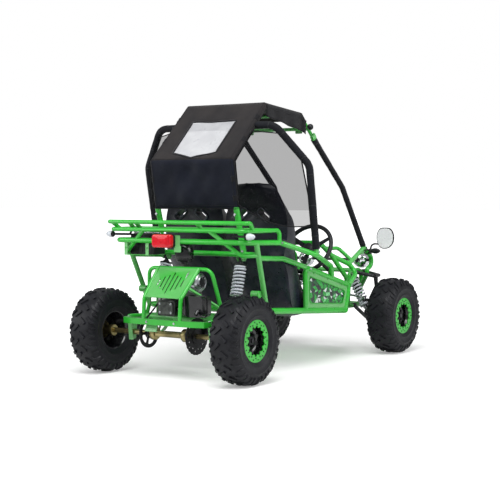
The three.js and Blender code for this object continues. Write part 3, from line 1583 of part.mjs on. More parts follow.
function onCradleRail(y) {
  return y > 0 ? between(cradleRear, cradlePivot, y / pivotY) : point(cradleHalfWidth, y, cradleZ);
}

const guardLeg = point(guardLegHalfWidth, guardLegY, guardLegZ);
const guardTop = point(guardHalfWidth, guardTopY, guardTopZ);
const plateTop = point(guardPlateTopHalfWidth, guardPlateTopY, guardTopZ);
const plateBottom = point(guardPlateBottomHalfWidth, guardPlateBottomY, guardPlateBottomZ);
const crossRear = onCradleRail(cradleCrossY);
const crossFront = onCradleRail(cradleFrontCrossY);
const cradlePlans = [
  ...bothSides(plan([cradlePivot, cradleRear, cradleEnd], mainTubeRadius)),
  across(crossRear.x, crossRear.y, crossRear.z, mainTubeRadius),
  across(crossFront.x, crossFront.y, crossFront.z, mainTubeRadius),
  hoopPlan([onCradleRail(guardFootY), guardLeg, guardTop], guardTubeRadius),
  ...bothSides(plan([
    plateTop, plateBottom, point(guardPlateBottomHalfWidth, bumperY + guardTubeRadius, bumperZ),
  ], guardTubeRadius)),
  ...bothSides(plan([between(plateTop, plateBottom, guardBraceShare), guardLeg], guardBraceRadius)),
];

function bumperBand() {
  const half = bumperHeight / 2;
  const outline = [
    [bumperHalfWidth, cradleEndY], [bumperCornerHalfWidth, bumperCornerY], [bumperMidHalfWidth, bumperY],
    [-bumperMidHalfWidth, bumperY], [-bumperCornerHalfWidth, bumperCornerY], [-bumperHalfWidth, cradleEndY],
  ];
  const inner = [
    [bumperHalfWidth - bumperDepth, cradleEndY], [bumperCornerHalfWidth - bumperDepth, bumperCornerY + bumperDepth / 2],
    [bumperMidHalfWidth, bumperY + bumperDepth],
  ];
  const back = [...inner, ...inner.slice().reverse().map(([x, y]) => [-x, y])].reverse();
  return plate([...outline, ...back], bumperHeight, point(0, 0, bumperZ - half), right, forward);
}

function guardPlate() {
  const rise = plateTop.clone().sub(plateBottom).setX(0);
  const height = rise.length();
  const slope = rise.clone().normalize();
  const outline = [
    [-guardPlateBottomHalfWidth, 0], [guardPlateBottomHalfWidth, 0],
    [guardPlateTopHalfWidth, height], [-guardPlateTopHalfWidth, height],
  ];
  const slots = slotLengths.map((length, k) => {
    const x = (k - (slotLengths.length - 1) / 2) * slotPitch;
    const [low, high] = [(height - length) / 2, (height + length) / 2];
    const lean = (slotLean * length) / Math.max(...slotLengths);
    return [
      [x - slotWidth / 2 - lean / 2, low], [x - slotWidth / 2 + lean / 2, high],
      [x + slotWidth / 2 + lean / 2, high], [x + slotWidth / 2 - lean / 2, low],
    ];
  });
  return plate(outline, sheetThickness, point(0, guardPlateBottomY, guardPlateBottomZ), right, slope, slots);
}

function hanger() {
  const outline = [
    [-hangerHalfDepth, cradleZ], [-hangerHalfDepth / 2, hangerBottomZ], [hangerHalfDepth / 2, hangerBottomZ],
    [hangerHalfDepth, cradleZ],
  ];
  return plate(outline, hangerThickness, point(cradleHalfWidth - hangerThickness / 2, 0, 0), forward, up);
}

function carrierTab() {
  const seat = axleZ + carrierRadius + gap;
  const outline = [
    [-carrierRadius, seat], [carrierRadius, seat], [crossRear.y + mainTubeRadius / 2, crossRear.z],
    [crossRear.y - mainTubeRadius / 2, crossRear.z],
  ];
  return plate(outline, hangerThickness, point(carrierTabX, 0, 0), forward, up);
}

const shockHeld = onCradleRail(rearShockBottomY);
const shockSeatWidth = 2 * (shockEarGap + earThickness);
const cradleShockMount = join(
  [-1, 1].map((end) => block(
    point(rearShockX + end * (shockEarGap + earThickness / 2), rearShockBottomY,
      (rearShockBottomZ + shockHeld.z + mainTubeRadius) / 2),
    earThickness, 2 * shockEyeRadius, rearShockBottomZ + shockEyeRadius - shockHeld.z - mainTubeRadius,
  )),
  block(point(rearShockX, rearShockBottomY, shockHeld.z + mainTubeRadius), shockSeatWidth, 2 * shockEyeRadius,
    earThickness),
  rod(point(rearShockX - shockEarGap - overrun, rearShockBottomY, rearShockBottomZ),
    point(rearShockX + shockEarGap + overrun, rearShockBottomY, rearShockBottomZ), shockBoltRadius, thinTubeSides),
);
const hangerPlate = hanger();
const cradle = cut(
  join(
    build(cradlePlans), rod(point(-pivotHalfLength, pivotY, pivotZ), point(pivotHalfLength, pivotY, pivotZ),
      pivotTubeRadius),
    bumperBand(), guardPlate(), hangerPlate, otherSide(hangerPlate), carrierTab(), cradleShockMount,
    otherSide(cradleShockMount),
  ),
  bore(point(-bumperHalfWidth - bumperDepth, 0, axleZ), point(bumperHalfWidth + bumperDepth, 0, axleZ),
    axleShaftRadius + gap, fitSides),
  [-1, 1].map((end) => bore(point(end * (pivotHalfLength + overrun), pivotY, pivotZ),
    point(end * (pivotHalfLength - pivotPinLength - overrun), pivotY, pivotZ), cradleBoreRadius)),
);
addPiece('rear_cradle', cradle, green);

// Rear axle: shaft with wheel hubs, its bearing carrier, the sprocket and the brake disc
const wheelDiscX = rearTrack / 2 + rimWidth / 2 - rimDiscInset;
const axleEndX = wheelDiscX + rimDiscThickness + axleStub;
const flangeX = wheelDiscX - gap - hubFlangeThickness;
const axle = join(
  rod(point(-axleEndX, 0, axleZ), point(axleEndX, 0, axleZ), axleShaftRadius, fitSides),
  [-1, 1].map((end) => join(
    rod(point(end * (flangeX - axleHubLength), 0, axleZ), point(end * (flangeX + overrun), 0, axleZ), axleHubRadius),
    rod(point(end * flangeX, 0, axleZ), point(end * (flangeX + hubFlangeThickness), 0, axleZ), hubFlangeRadius,
      capSides),
  )),
);
addPiece('axle_shaft', axle, olivePlate);

function ringHoles(count, circle, radius, x, thickness) {
  const holes = [];
  for (let k = 0; k < count; k += 1) {
    const angle = (2 * Math.PI * k) / count;
    const y = circle * Math.cos(angle);
    const z = axleZ + circle * Math.sin(angle);
    holes.push(rod(point(x - thickness, y, z), point(x + thickness, y, z), radius, thinTubeSides));
  }
  return holes;
}

function toothedDisc(radius, teeth, tooth, thickness, x) {
  const outline = [];
  for (let k = 0; k < teeth; k += 1) {
    for (const [share, r] of [[0, radius], [0.5, radius - tooth]]) {
      const angle = (2 * Math.PI * (k + share)) / teeth;
      outline.push([r * Math.cos(angle), r * Math.sin(angle)]);
    }
  }
  return plate(outline, thickness, point(x - thickness / 2, 0, axleZ), forward, up);
}

const shaftBore = (from, to) => bore(point(from, 0, axleZ), point(to, 0, axleZ), axleShaftRadius + gap, fitSides);
const sprocket = cut(
  join(
    toothedDisc(sprocketRadius, sprocketTeeth, sprocketTooth, sprocketThickness, sprocketX),
    rod(point(sprocketX, 0, axleZ), point(sprocketX + sprocketHubLength, 0, axleZ), sprocketHubRadius),
  ),
  ringHoles(sprocketHoleCount, sprocketHoleCircle, sprocketHoleRadius, sprocketX, sprocketThickness),
  shaftBore(sprocketX - sprocketThickness, sprocketX + sprocketHubLength + overrun),
);
addPiece('sprocket', sprocket, steel);
const brakeDisc = cut(
  join(
    rod(point(discX - discThickness / 2, 0, axleZ), point(discX + discThickness / 2, 0, axleZ), discRadius, discSides),
    rod(point(discX - sprocketHubLength, 0, axleZ), point(discX, 0, axleZ), sprocketHubRadius),
  ),
  ringHoles(discHoleCount, discHoleCircle, discHoleRadius, discX, discThickness),
  shaftBore(discX - sprocketHubLength - overrun, discX + discThickness),
);
addPiece('brake_disc', brakeDisc, steel);
const carrier = cut(
  join(
    rod(point(-carrierLeft, 0, axleZ), point(carrierRight, 0, axleZ), carrierRadius),
    rod(point(-carrierLeft, 0, axleZ), point(carrierCapLength - carrierLeft, 0, axleZ), carrierCapRadius, capSides),
    rod(point(carrierRight - carrierCapLength, 0, axleZ), point(carrierRight, 0, axleZ), carrierCapRadius, capSides),
  ),
  shaftBore(-carrierLeft - overrun, carrierRight + overrun),
);
addPiece('axle_carrier', carrier, black);

// Engine: joined case halves, fan cover, finned cylinder laid back, intake, output sprocket and silencer
function caseOutline() {
  const circles = [[engineY, engineZ, crankcaseRadius], [housingY, housingZ, housingRadius]];
  const [low, high] = circles;
  const lean = Math.atan2(high[1] - low[1], high[0] - low[0]);
  const open = Math.acos((low[2] - high[2]) / Math.hypot(high[0] - low[0], high[1] - low[1]));
  const arc = ([y, z, r], from, to) => caseArcShares.map((share) => {
    const angle = from + (to - from) * share;
    return [y + r * Math.cos(angle), z + r * Math.sin(angle)];
  });
  return [...arc(high, lean - open, lean + open), ...arc(low, lean + open, lean + 2 * Math.PI - open)];
}

function engineSolid() {
  const body = plate(caseOutline(), 2 * engineHalfWidth, point(-engineHalfWidth, 0, 0), forward, up);
  const feetZ = crossRear.z + mainTubeRadius + gap + overrun;
  const feet = block(point(0, (crossRear.y + crossFront.y) / 2, feetZ), 2 * footHalfWidth,
    crossFront.y - crossRear.y + mainTubeRadius, 2 * overrun);
  const fan = rod(point(engineHalfWidth - overrun, fanCoverY, fanCoverZ),
    point(engineHalfWidth + fanCoverDepth, fanCoverY, fanCoverZ), fanCoverRadius, capSides);
  const clutch = rod(point(overrun - engineHalfWidth, engineY, engineZ),
    point(-engineHalfWidth - clutchCoverDepth, engineY, engineZ), clutchCoverRadius, capSides);
  const output = join(
    rod(point(-engineHalfWidth + overrun, outputY, outputZ), point(sprocketX - overrun, outputY, outputZ), outputRadius),
    rod(point(sprocketX - sprocketThickness / 2, outputY, outputZ),
      point(sprocketX + sprocketThickness / 2, outputY, outputZ), outputSprocketRadius, capSides),
  );
  const cylinder = block(point(0, (cylinderRearY + engineY) / 2, cylinderZ), 2 * cylinderHalfWidth,
    engineY - cylinderRearY, 2 * cylinderHalfHeight);
  const fins = Array.from({ length: finCount }, (_, k) => block(
    point(0, cylinderRearY + finThickness + k * finPitch, cylinderZ), 2 * finHalfWidth, finThickness,
    2 * finHalfHeight,
  ));
  const intake = rod(point(intakeX, intakeY, intakeZ), point(intakeX, filterY, filterZ - filterRadius - gap),
    intakeRadius, tubeSides);
  const muffler = block(point(mufflerX, mufflerY, mufflerZ), mufflerWidth, mufflerDepth, mufflerHeight);
  const pipe = rod(point(cylinderHalfWidth - overrun, mufflerPipeY, cylinderZ),
    point(mufflerX - mufflerWidth / 2 + overrun, mufflerPipeY, mufflerZ), mufflerPipeRadius);
  return clearOf(join(body, feet, fan, clutch, output, cylinder, fins, intake, muffler, pipe), cradlePlans);
}

addPiece('engine', engineSolid(), castAlloy);
const filter = turned([
  [0, -filterRadius], [filterRadius * filterNeckShare, filterNeck - filterRadius], [filterRadius, -filterRadius / 2],
  [filterRadius, filterRadius / 2], [filterRadius * filterNeckShare, filterRadius - filterNeck], [0, filterRadius],
], point(intakeX, filterY, filterZ), up, 12);
addPiece('air_filter', filter, black);

// Seats: a shell bent from head to knee with raised bolsters and two harness slots
function seatSolid() {
  const rows = seatProfile.map(({ y, z, halfWidth }) => seatColumnShares.map(
    (share) => point(seatCentreX + halfWidth * share, y, z),
  ));
  const shell = sheet(rows, (i, j) => seatThickness + seatBolster * seatBolsterShares[j]
    * (i < seatBolsterRow ? seatHeadShare : 1));
  const slots = [-1, 1].map((end) => block(
    point(seatCentreX + end * seatSlotX, seatProfile[0].y, seatSlotZ), seatSlotWidth,
    2 * (seatThickness + seatBolster) + seatSlotWidth, seatSlotHeight,
  ));
  return clearOf(cut(shell, slots), [...floorPlans, ...rearPlans, ...frontPlans]);
}

addPair('seat', seatSolid(), vinyl);

// Steering: wheel with its column, the jointed shaft, and the bar that slides between the tie rods
function steeringWheel() {
  const rim = new THREE.TorusGeometry(steeringRadius, steeringRimRadius, thinTubeSides, rimSides);
  rim.applyQuaternion(new THREE.Quaternion().setFromUnitVectors(up, columnWay));
  rim.translate(steeringX, steeringY, steeringZ);
  const rise = right.clone().cross(columnWay).normalize();
  const spokes = spokeAngles.map((degrees) => {
    const angle = THREE.MathUtils.degToRad(degrees);
    const out = right.clone().multiplyScalar(Math.cos(angle)).addScaledVector(rise, Math.sin(angle));
    return rod(steeringCentre.clone().addScaledVector(columnWay, hubDrop),
      steeringCentre.clone().addScaledVector(out, steeringRadius), spokeRadius, thinTubeSides);
  });
  return join(
    toSolid(rim), spokes,
    rod(steeringCentre.clone().addScaledVector(columnWay, -hubRise),
      steeringCentre.clone().addScaledVector(columnWay, hubDrop + overrun), steeringHubRadius, capSides),
    rod(steeringCentre, columnEnd, columnRadius, fitSides),
  );
}

addPiece('steering_wheel', steeringWheel(), black);

const jointBall = new THREE.SphereGeometry(jointBallRadius, smallSides, thinTubeSides);
jointBall.translate(shaftStart.x, shaftStart.y, shaftStart.z);
const pinionStart = pinionPlace.clone().addScaledVector(shaftWay, -pinionRadius);
const steeringShaft = join(
  toSolid(jointBall), rod(shaftStart, pinionStart.clone().addScaledVector(shaftWay, overrun), columnRadius - overrun),
  rod(pinionStart, pinionPlace, pinionRadius),
);
addPiece('steering_shaft', steeringShaft, steel);
addPiece('steering_rack', rod(point(-rackBarHalfLength, rackBarY, rackBarZ),
  point(rackBarHalfLength, rackBarY, rackBarZ), rackBarRadius, fitSides), steel);

// Pedals: a bush at the floor, a leaning arm and a pad
function pedal(x) {
  const lean = THREE.MathUtils.degToRad(pedalLean);
  const way = point(0, -Math.sin(lean), Math.cos(lean));
  const face = right.clone().cross(way);
  const foot = point(x, pedalPivotY, pedalPivotZ);
  const outline = (halfWidth, low, high) => [[-halfWidth, low], [halfWidth, low], [halfWidth, high], [-halfWidth, high]];
  const arm = plate(outline(pedalArmWidth / 2, 0, pedalHeight), pedalArmDepth, foot, right, way);
  const pad = plate(outline(pedalWidth / 2, pedalHeight - pedalPadHeight, pedalHeight), pedalArmDepth,
    foot.clone().addScaledVector(face, pedalArmDepth - overrun), right, way);
  const bush = rod(foot.clone().setX(x - pedalBushHalfLength), foot.clone().setX(x + pedalBushHalfLength),
    pedalBushRadius);
  const past = pedalBushHalfLength + overrun;
  return cut(join(arm, pad, bush), bore(foot.clone().setX(x - past), foot.clone().setX(x + past), pedalPinRadius + gap,
    thinTubeSides));
}

addPiece('throttle_pedal', pedal(throttleX), black);
addPiece('brake_pedal', pedal(brakeX), black);

// Lamps, mirrors and battery
const lampBarHalf = noseLoopHalfWidth - mainTubeRadius * Math.cos(Math.PI / thinTubeSides) - gap;
const bowl = turned([
  [0, -headlightDepth / 2], [headlightRadius * bowlNeckShare, -headlightDepth / 2],
  [headlightRadius, headlightDepth * bowlRimShare], [headlightRadius, headlightDepth / 2],
  [0, headlightDepth / 2],
], point(headlightX, headlightY, headlightZ), forward, capSides);
addPiece('headlights', join(
  bowl, otherSide(bowl), rod(point(-lampBarHalf, noseLoopY, headlightZ), point(lampBarHalf, noseLoopY, headlightZ),
    headlightBarRadius),
), black);

const mirrorBaseX = noseLoopHalfWidth + mainTubeRadius + mirrorBaseRadius + 2 * gap;
const mirrorBaseZ = pillarFootZ + (noseLoopTopZ - pillarFootZ) * (mirrorBaseY - pillarFootY) / (noseLoopY - pillarFootY);
const mirrorBase = point(mirrorBaseX, mirrorBaseY, mirrorBaseZ);
const mirrorHead = point(mirrorX, mirrorY, mirrorZ);

function mirrorSolid() {
  const [w, h] = [mirrorWidth / 2, mirrorHeight / 2];
  const outline = mirrorShares.map(([x, z]) => [x * w, z * h]);
  const head = plate(outline, mirrorDepth, mirrorHead.clone().setY(mirrorY + mirrorDepth / 2), right, up);
  const base = rod(mirrorBase.clone().setZ(mirrorBaseZ - mirrorBaseHeight / 2),
    mirrorBase.clone().setZ(mirrorBaseZ + mirrorBaseHeight / 2), mirrorBaseRadius);
  return join(head, base, rod(mirrorBase, mirrorHead, mirrorArmRadius, thinTubeSides));
}

addPair('mirror', mirrorSolid(), black);
addPiece('tail_lamp', block(point(lampX, railRearY - mainTubeRadius - sheetThickness / 2 - gap - lampDepth / 2, lampZ),
  lampWidth, lampDepth, lampHeight), redLens);
addPiece('battery_box', join(
  block(point(batteryX, batteryY, batteryZ), batteryWidth, batteryDepth, batteryHeight),
  block(point(batteryX, batteryY, batteryZ + batteryHeight / 2 - batteryLip),
    batteryWidth + 2 * batteryLip, batteryDepth + 2 * batteryLip, 2 * batteryLip),
), black);

export default kart;
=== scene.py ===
import math
import random
from math import acos, atan2, copysign, cos, exp, hypot, pi, radians, sin

import bmesh
import bpy
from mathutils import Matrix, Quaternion, Vector
from mathutils.geometry import tessellate_polygon


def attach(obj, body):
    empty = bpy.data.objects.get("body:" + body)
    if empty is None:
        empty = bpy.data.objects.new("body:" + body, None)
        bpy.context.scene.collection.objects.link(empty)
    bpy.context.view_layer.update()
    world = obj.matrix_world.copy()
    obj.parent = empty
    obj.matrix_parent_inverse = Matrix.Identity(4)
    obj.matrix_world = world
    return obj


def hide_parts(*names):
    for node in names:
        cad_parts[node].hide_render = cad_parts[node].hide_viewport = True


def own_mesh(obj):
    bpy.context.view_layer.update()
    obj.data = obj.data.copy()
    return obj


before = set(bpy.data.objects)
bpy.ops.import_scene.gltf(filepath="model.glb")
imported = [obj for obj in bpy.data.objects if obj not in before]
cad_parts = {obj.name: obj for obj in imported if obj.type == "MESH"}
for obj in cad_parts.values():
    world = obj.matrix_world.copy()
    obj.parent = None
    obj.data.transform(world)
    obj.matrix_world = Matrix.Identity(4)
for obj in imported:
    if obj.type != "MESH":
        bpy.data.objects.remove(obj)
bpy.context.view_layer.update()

MM = 0.001
WHEEL_BASE = 1416
THROTTLE_X, BRAKE_X = 176, 66
BATTERY_X = -249
RACK_Y, RACK_Z = 1306, 318
FORWARD = Vector((0, 1, 0))
RIGHT = Vector((1, 0, 0))
UP = Vector((0, 0, 1))


def V(x, y, z):
    """A place in mm: x to the right, y forward from the rear axle, z up from the ground."""
    return Vector((x, y, z))


def row(p):
    """The same place in the row frame, in metres."""
    return Vector((p.x, p.y - WHEEL_BASE / 2, p.z)) * MM


def mirrored(points):
    """The same places on the other side of the kart."""
    return [V(-p.x, p.y, p.z) for p in points]


def polar(radius, angle):
    return radius * cos(angle), radius * sin(angle)


def turns(count, first=0.0):
    """The angles of equal steps round a circle, from a share of a step on."""
    return [2 * pi * (k + first) / count for k in range(count)]


def circle(count, radius, way=1):
    """An outline of places on a circle; way is -1 for a hole."""
    return [polar(radius, way * a) for a in turns(count)]


def around(centre, x, radius, angle):
    """A place beside the centre: x to the right, radius and angle round that line."""
    return centre + V(x, *polar(radius, angle))


# ---------------------------------------------------------------- materials

def srgb(r, g, b):
    """A screen colour of 0 to 255 as the linear values that a node takes."""
    def line(c):
        c /= 255
        return c / 12.92 if c <= 0.04045 else ((c + 0.055) / 1.055) ** 2.4
    return (line(r), line(g), line(b), 1.0)


NONE, FULL = (0, 0, 0, 1), (1, 1, 1, 1)
# The colour sockets of a mix node: two that it takes, one that it gives
MIX_TAKES = (6, 7)
MIXED = 2


class Nodes:
    """A short way to write a material's nodes."""

    def __init__(self, name):
        self.mat = bpy.data.materials.new(name)
        self.mat.use_nodes = True
        self.tree = self.mat.node_tree
        self.tree.nodes.clear()
        self.out = self.tree.nodes.new("ShaderNodeOutputMaterial")
        self.shader = self.new("ShaderNodeBsdfPrincipled")
        self.link(self.shader, "BSDF", self.out, "Surface")
        self.coords = self.new("ShaderNodeTexCoord")

    def new(self, kind, **values):
        node = self.tree.nodes.new(kind)
        for key, value in values.items():
            setattr(node, key, value)
        return node

    def link(self, a, out, b, into):
        self.tree.links.new(a.outputs[out], b.inputs[into])

    def put(self, **values):
        for key, value in values.items():
            self.shader.inputs[key.replace("_", " ")].default_value = value

    def noise(self, scale, detail):
        node = self.new("ShaderNodeTexNoise")
        node.inputs["Scale"].default_value = scale
        node.inputs["Detail"].default_value = detail
        node.inputs["Roughness"].default_value = 0.55
        self.link(self.coords, "Object", node, "Vector")
        return node

    def ramp(self, source, out, stops):
        node = self.new("ShaderNodeValToRGB")
        for k, (at, colour) in enumerate(stops):
            spot = node.color_ramp.elements[k] if k < 2 else node.color_ramp.elements.new(at)
            spot.position = at
            spot.color = colour
        self.link(source, out, node, "Fac")
        return node

    def grey(self, source, out, low, high, start=0.3, end=0.7):
        """A value brought from the range start to end into the range low to high."""
        node = self.new("ShaderNodeMapRange")
        node.inputs["From Min"].default_value = start
        node.inputs["From Max"].default_value = end
        node.inputs["To Min"].default_value = low
        node.inputs["To Max"].default_value = high
        self.link(source, out, node, "Value")
        return node

    def patches(self, scale, detail, colour, other, start=0.3, end=0.7):
        """Slow drift between two colours."""
        return self.ramp(self.noise(scale, detail), "Fac", [(start, srgb(*other)), (end, srgb(*colour))])

    def roughness(self, scale, detail, low, high):
        """Roughness that drifts between two values."""
        self.link(self.grey(self.noise(scale, detail), "Fac", low, high), "Result", self.shader, "Roughness")

    def math(self, operation, a, a_out, b, b_out):
        node = self.new("ShaderNodeMath", operation=operation)
        self.link(a, a_out, node, 0)
        self.link(b, b_out, node, 1)
        return node

    def mix(self, factor, f_out, a, a_out, b, b_out, blend="MIX"):
        node = self.new("ShaderNodeMix", data_type="RGBA", blend_type=blend)
        if f_out is None:
            node.inputs[0].default_value = factor
        else:
            self.link(factor, f_out, node, 0)
        for side, at, out in zip(MIX_TAKES, (a, b), (a_out, b_out)):
            if out is None:
                node.inputs[side].default_value = at
            else:
                self.tree.links.new(at.outputs[out], node.inputs[side])
        return node

    def bump(self, source, out, strength, distance, rounded=0.0):
        """Relief from a grain; rounded is the radius in metres that edges are shaded with."""
        node = self.new("ShaderNodeBump")
        node.inputs["Strength"].default_value = strength
        node.inputs["Distance"].default_value = distance
        self.link(source, out, node, "Height")
        if rounded:
            soft = self.new("ShaderNodeBevel", samples=4)
            soft.inputs["Radius"].default_value = rounded
            self.link(soft, "Normal", node, "Normal")
        self.link(node, "Normal", self.shader, "Normal")


def paint(name, colour, deep, worn, rough=0.3, coat=0.5):
    """Sprayed paint: slow colour drift, orange peel, wear along its edges."""
    n = Nodes(name)
    n.put(Coat_Weight=coat, Coat_Roughness=0.12, Metallic=0.0, Specular_IOR_Level=0.3)
    edge = n.ramp(n.new("ShaderNodeNewGeometry"), "Pointiness", [(0.56, NONE), (0.66, FULL)])
    chips = n.ramp(n.noise(420, 5), "Fac", [(0.52, NONE), (0.66, FULL)])
    wear = n.mix(0.5, None, edge, "Color", chips, "Color", "MULTIPLY")
    worn_here = n.mix(wear, MIXED, n.patches(7, 3, colour, deep), "Color", srgb(*worn), None)
    n.link(worn_here, MIXED, n.shader, "Base Color")
    n.roughness(60, 4, rough - 0.05, rough + 0.12)
    n.bump(n.noise(900, 2), "Fac", 0.12, 0.0002, 0.0015)
    return n.mat


def plain(name, colour, other, rough, metal=0.0, grain=700, strength=0.25, distance=0.0003, drift=12, spread=0.1,
          **values):
    """A moulded, cast, plated or brushed surface: two near colours in patches and a fine grain."""
    n = Nodes(name)
    n.put(Metallic=metal, **values)
    n.link(n.patches(drift, 5, colour, other, 0.32, 0.68), "Color", n.shader, "Base Color")
    n.roughness(drift * 4, 5, rough - spread, rough + spread)
    n.bump(n.noise(grain, 4), "Fac", strength, distance, 0.0008)
    return n.mat


def weave(n, pitch, strength, distance):
    """Over-and-under threads, as bump from two crossed bands."""
    bands = []
    for turn in (0, -90):
        place = n.new("ShaderNodeMapping")
        place.inputs["Rotation"].default_value = (0, radians(turn), 0)
        wave = n.new("ShaderNodeTexWave", bands_direction="X")
        wave.inputs["Scale"].default_value = 1 / pitch / 3.2
        wave.inputs["Distortion"].default_value = 0.6
        n.link(n.coords, "Object", place, "Vector")
        n.link(place, "Vector", wave, "Vector")
        bands.append(wave)
    both = n.math("MAXIMUM", bands[0], "Fac", bands[1], "Fac")
    n.bump(both, "Value", strength, distance)
    return both


def woven(name, colour, other, rough, pitch=0.0011, strength=0.35):
    n = Nodes(name)
    n.put(Sheen_Weight=0.12, Sheen_Roughness=0.4, Specular_IOR_Level=0.15)
    fine = n.ramp(weave(n, pitch, strength, 0.0003), "Value", [(0.1, (0.72, 0.72, 0.74, 1)), (0.9, FULL)])
    n.link(n.mix(0.6, None, n.patches(9, 6, colour, other), "Color", fine, "Color", "MULTIPLY"), MIXED,
           n.shader, "Base Color")
    n.roughness(40, 4, rough - 0.06, rough + 0.06)
    return n.mat


def see_through(name, colour, other, cover, rough, pitch=0.002, shine=0.5):
    """Open mesh or clear sheet: part of the light passes."""
    n = Nodes(name)
    n.put(Alpha=cover, Specular_IOR_Level=shine)
    n.link(n.patches(14, 4, colour, other), "Color", n.shader, "Base Color")
    n.roughness(30, 3, rough - 0.05, rough + 0.1)
    weave(n, pitch, 0.4, 0.0003)
    return n.mat


GREEN = paint("green_paint", (43, 178, 47), (34, 158, 40), (140, 190, 140))
GREEN_SHEET = paint("green_sheet", (38, 166, 42), (31, 150, 36), (140, 190, 140), rough=0.36)
BLACK = paint("black_paint", (27, 28, 32), (19, 20, 24), (70, 72, 76), rough=0.34, coat=0.2)
PLASTIC = plain("black_plastic", (27, 29, 33), (19, 21, 24), 0.42, grain=1400, strength=0.3,
                Specular_IOR_Level=0.3)
GLOSSY = plain("gloss_plastic", (18, 19, 22), (12, 13, 15), 0.16, strength=0.05, Coat_Weight=0.2)
FOAM = plain("hoop_foam", (19, 21, 27), (12, 13, 18), 0.7, grain=900, strength=0.6, distance=0.0006,
             Sheen_Weight=0.04, Specular_IOR_Level=0.15)
SLEEVE = woven("sleeve_cloth", (30, 31, 36), (21, 22, 26), 0.85)
CANOPY = woven("canopy_cloth", (43, 40, 40), (31, 30, 32), 0.88)
CANOPY_LOW = woven("canopy_back_cloth", (24, 27, 38), (15, 18, 28), 0.88)
HEM = woven("canopy_hem", (26, 26, 29), (19, 19, 22), 0.8, pitch=0.0016, strength=0.5)
VINYL = plain("seat_vinyl", (25, 29, 43), (16, 19, 31), 0.34, grain=520, strength=0.4, distance=0.0005,
              drift=20, Coat_Weight=0.12, Specular_IOR_Level=0.35)
TRIM = plain("slot_trim", (84, 90, 99), (66, 71, 80), 0.4, grain=900, strength=0.2, Specular_IOR_Level=0.3)
RUBBER = plain("tyre_rubber", (25, 26, 31), (15, 16, 20), 0.46, grain=380, strength=0.5, distance=0.0008,
               drift=30, Specular_IOR_Level=0.22)
STEEL = plain("bright_steel", (196, 199, 203), (150, 153, 158), 0.28, metal=1.0, grain=900, strength=0.15)
CHROME = plain("lamp_chrome", (232, 234, 238), (206, 209, 214), 0.08, metal=1.0, strength=0.02, spread=0.03)
WHITE = paint("spring_white", (214, 217, 226), (198, 202, 212), (160, 162, 168), rough=0.32, coat=0.3)
ZINC = plain("zinc_plate", (172, 158, 112), (122, 114, 80), 0.36, metal=1.0, strength=0.12)
ALLOY = plain("cast_alloy", (150, 152, 150), (84, 87, 86), 0.42, metal=0.9, grain=420, strength=0.8,
              distance=0.0008, drift=34)
# Darker cast metal for the cylinder, its fins and the carburettor: partly a darker cast finish, partly painted shade
# among the fins and below the guard
DARK_ALLOY_AND_SHADE = plain("dark_alloy_and_shade", (84, 88, 84), (40, 43, 42), 0.45, metal=0.8, grain=420, strength=0.8,
                   distance=0.0008, drift=34)
IRON = plain("dark_iron", (46, 46, 50), (26, 26, 29), 0.5, metal=0.6, grain=500, strength=0.5, drift=26)
RED = plain("red_lens", (206, 14, 34), (176, 8, 24), 0.14, strength=0.03, Coat_Weight=0.35,
            Specular_IOR_Level=0.3)
CLEAR_LENS = plain("clear_lens", (206, 211, 216), (176, 182, 190), 0.1, strength=0.05, Coat_Weight=0.6)
AMBER = plain("amber_lens", (210, 104, 22), (184, 84, 12), 0.16, strength=0.03, Coat_Weight=0.6)
# The mirror's glass: a painted reflection, a near-white colour with little metal in place of a true mirror reflecting
# the white studio
MIRROR_PAINTED_REFLECTION = plain("mirror_painted_reflection", (236, 237, 239), (226, 227, 230), 0.25, metal=0.1, strength=0.0, spread=0.03)
NET = see_through("net_mesh", (16, 16, 18), (10, 10, 12), 0.56, 0.85, shine=0.05)
WINDOW = see_through("window_vinyl", (196, 197, 200), (180, 181, 185), 0.62, 0.3, pitch=0.03)
# The side panels' pattern: green, deep green, pale green and white
DECALS = [plain("pattern_" + name, colour, other, 0.3, strength=0.02, Coat_Weight=0.3)
          for name, colour, other in (("green", (34, 166, 60), (26, 140, 50)), ("deep", (14, 92, 44), (10, 74, 36)),
                                      ("pale", (120, 206, 136), (98, 184, 116)),
                                      ("white", (206, 218, 212), (186, 200, 194)))]


# ---------------------------------------------------------------- shapes

# The share of a leg that a corner's arc may take
LEG_SHARE = 0.48


def route(corners, bend=42, step=9):
    """Straight runs with an arc at each corner, of radius bend and a place each step degrees."""
    points = [corners[0].copy()]
    for before, here, after in zip(corners, corners[1:], corners[2:]):
        a, b = here - before, after - here
        way_a, way_b = a.normalized(), b.normalized()
        turn = way_a.angle(way_b)
        if turn < 0.02:
            points.append(here.copy())
            continue
        setback = min(bend * math.tan(turn / 2), min(a.length, b.length) * LEG_SHARE)
        radius = setback / math.tan(turn / 2)
        axis = way_a.cross(way_b).normalized()
        start = here - way_a * setback
        centre = start + axis.cross(way_a) * radius
        steps = max(2, math.ceil(math.degrees(turn) / step))
        for k in range(steps + 1):
            points.append(centre + Quaternion(axis, turn * k / steps) @ (start - centre))
    points.append(corners[-1].copy())
    return points


def directions(points, closed=False):
    """The way of a line at each of its points."""
    count = len(points)
    ways = []
    for i in range(count):
        after = points[(i + 1) % count] if closed else points[min(i + 1, count - 1)]
        before = points[i - 1] if closed else points[max(i - 1, 0)]
        ways.append((after - before).normalized())
    return ways


def quads(lines, count, closed=False, wrap=True):
    """Faces between neighbouring lines of places, count places in each."""
    faces = []
    for i in range(lines if closed else lines - 1):
        j = (i + 1) % lines
        for k in range(count if wrap else count - 1):
            m = (k + 1) % count
            faces.append((i * count + k, i * count + m, j * count + m, j * count + k))
    return faces


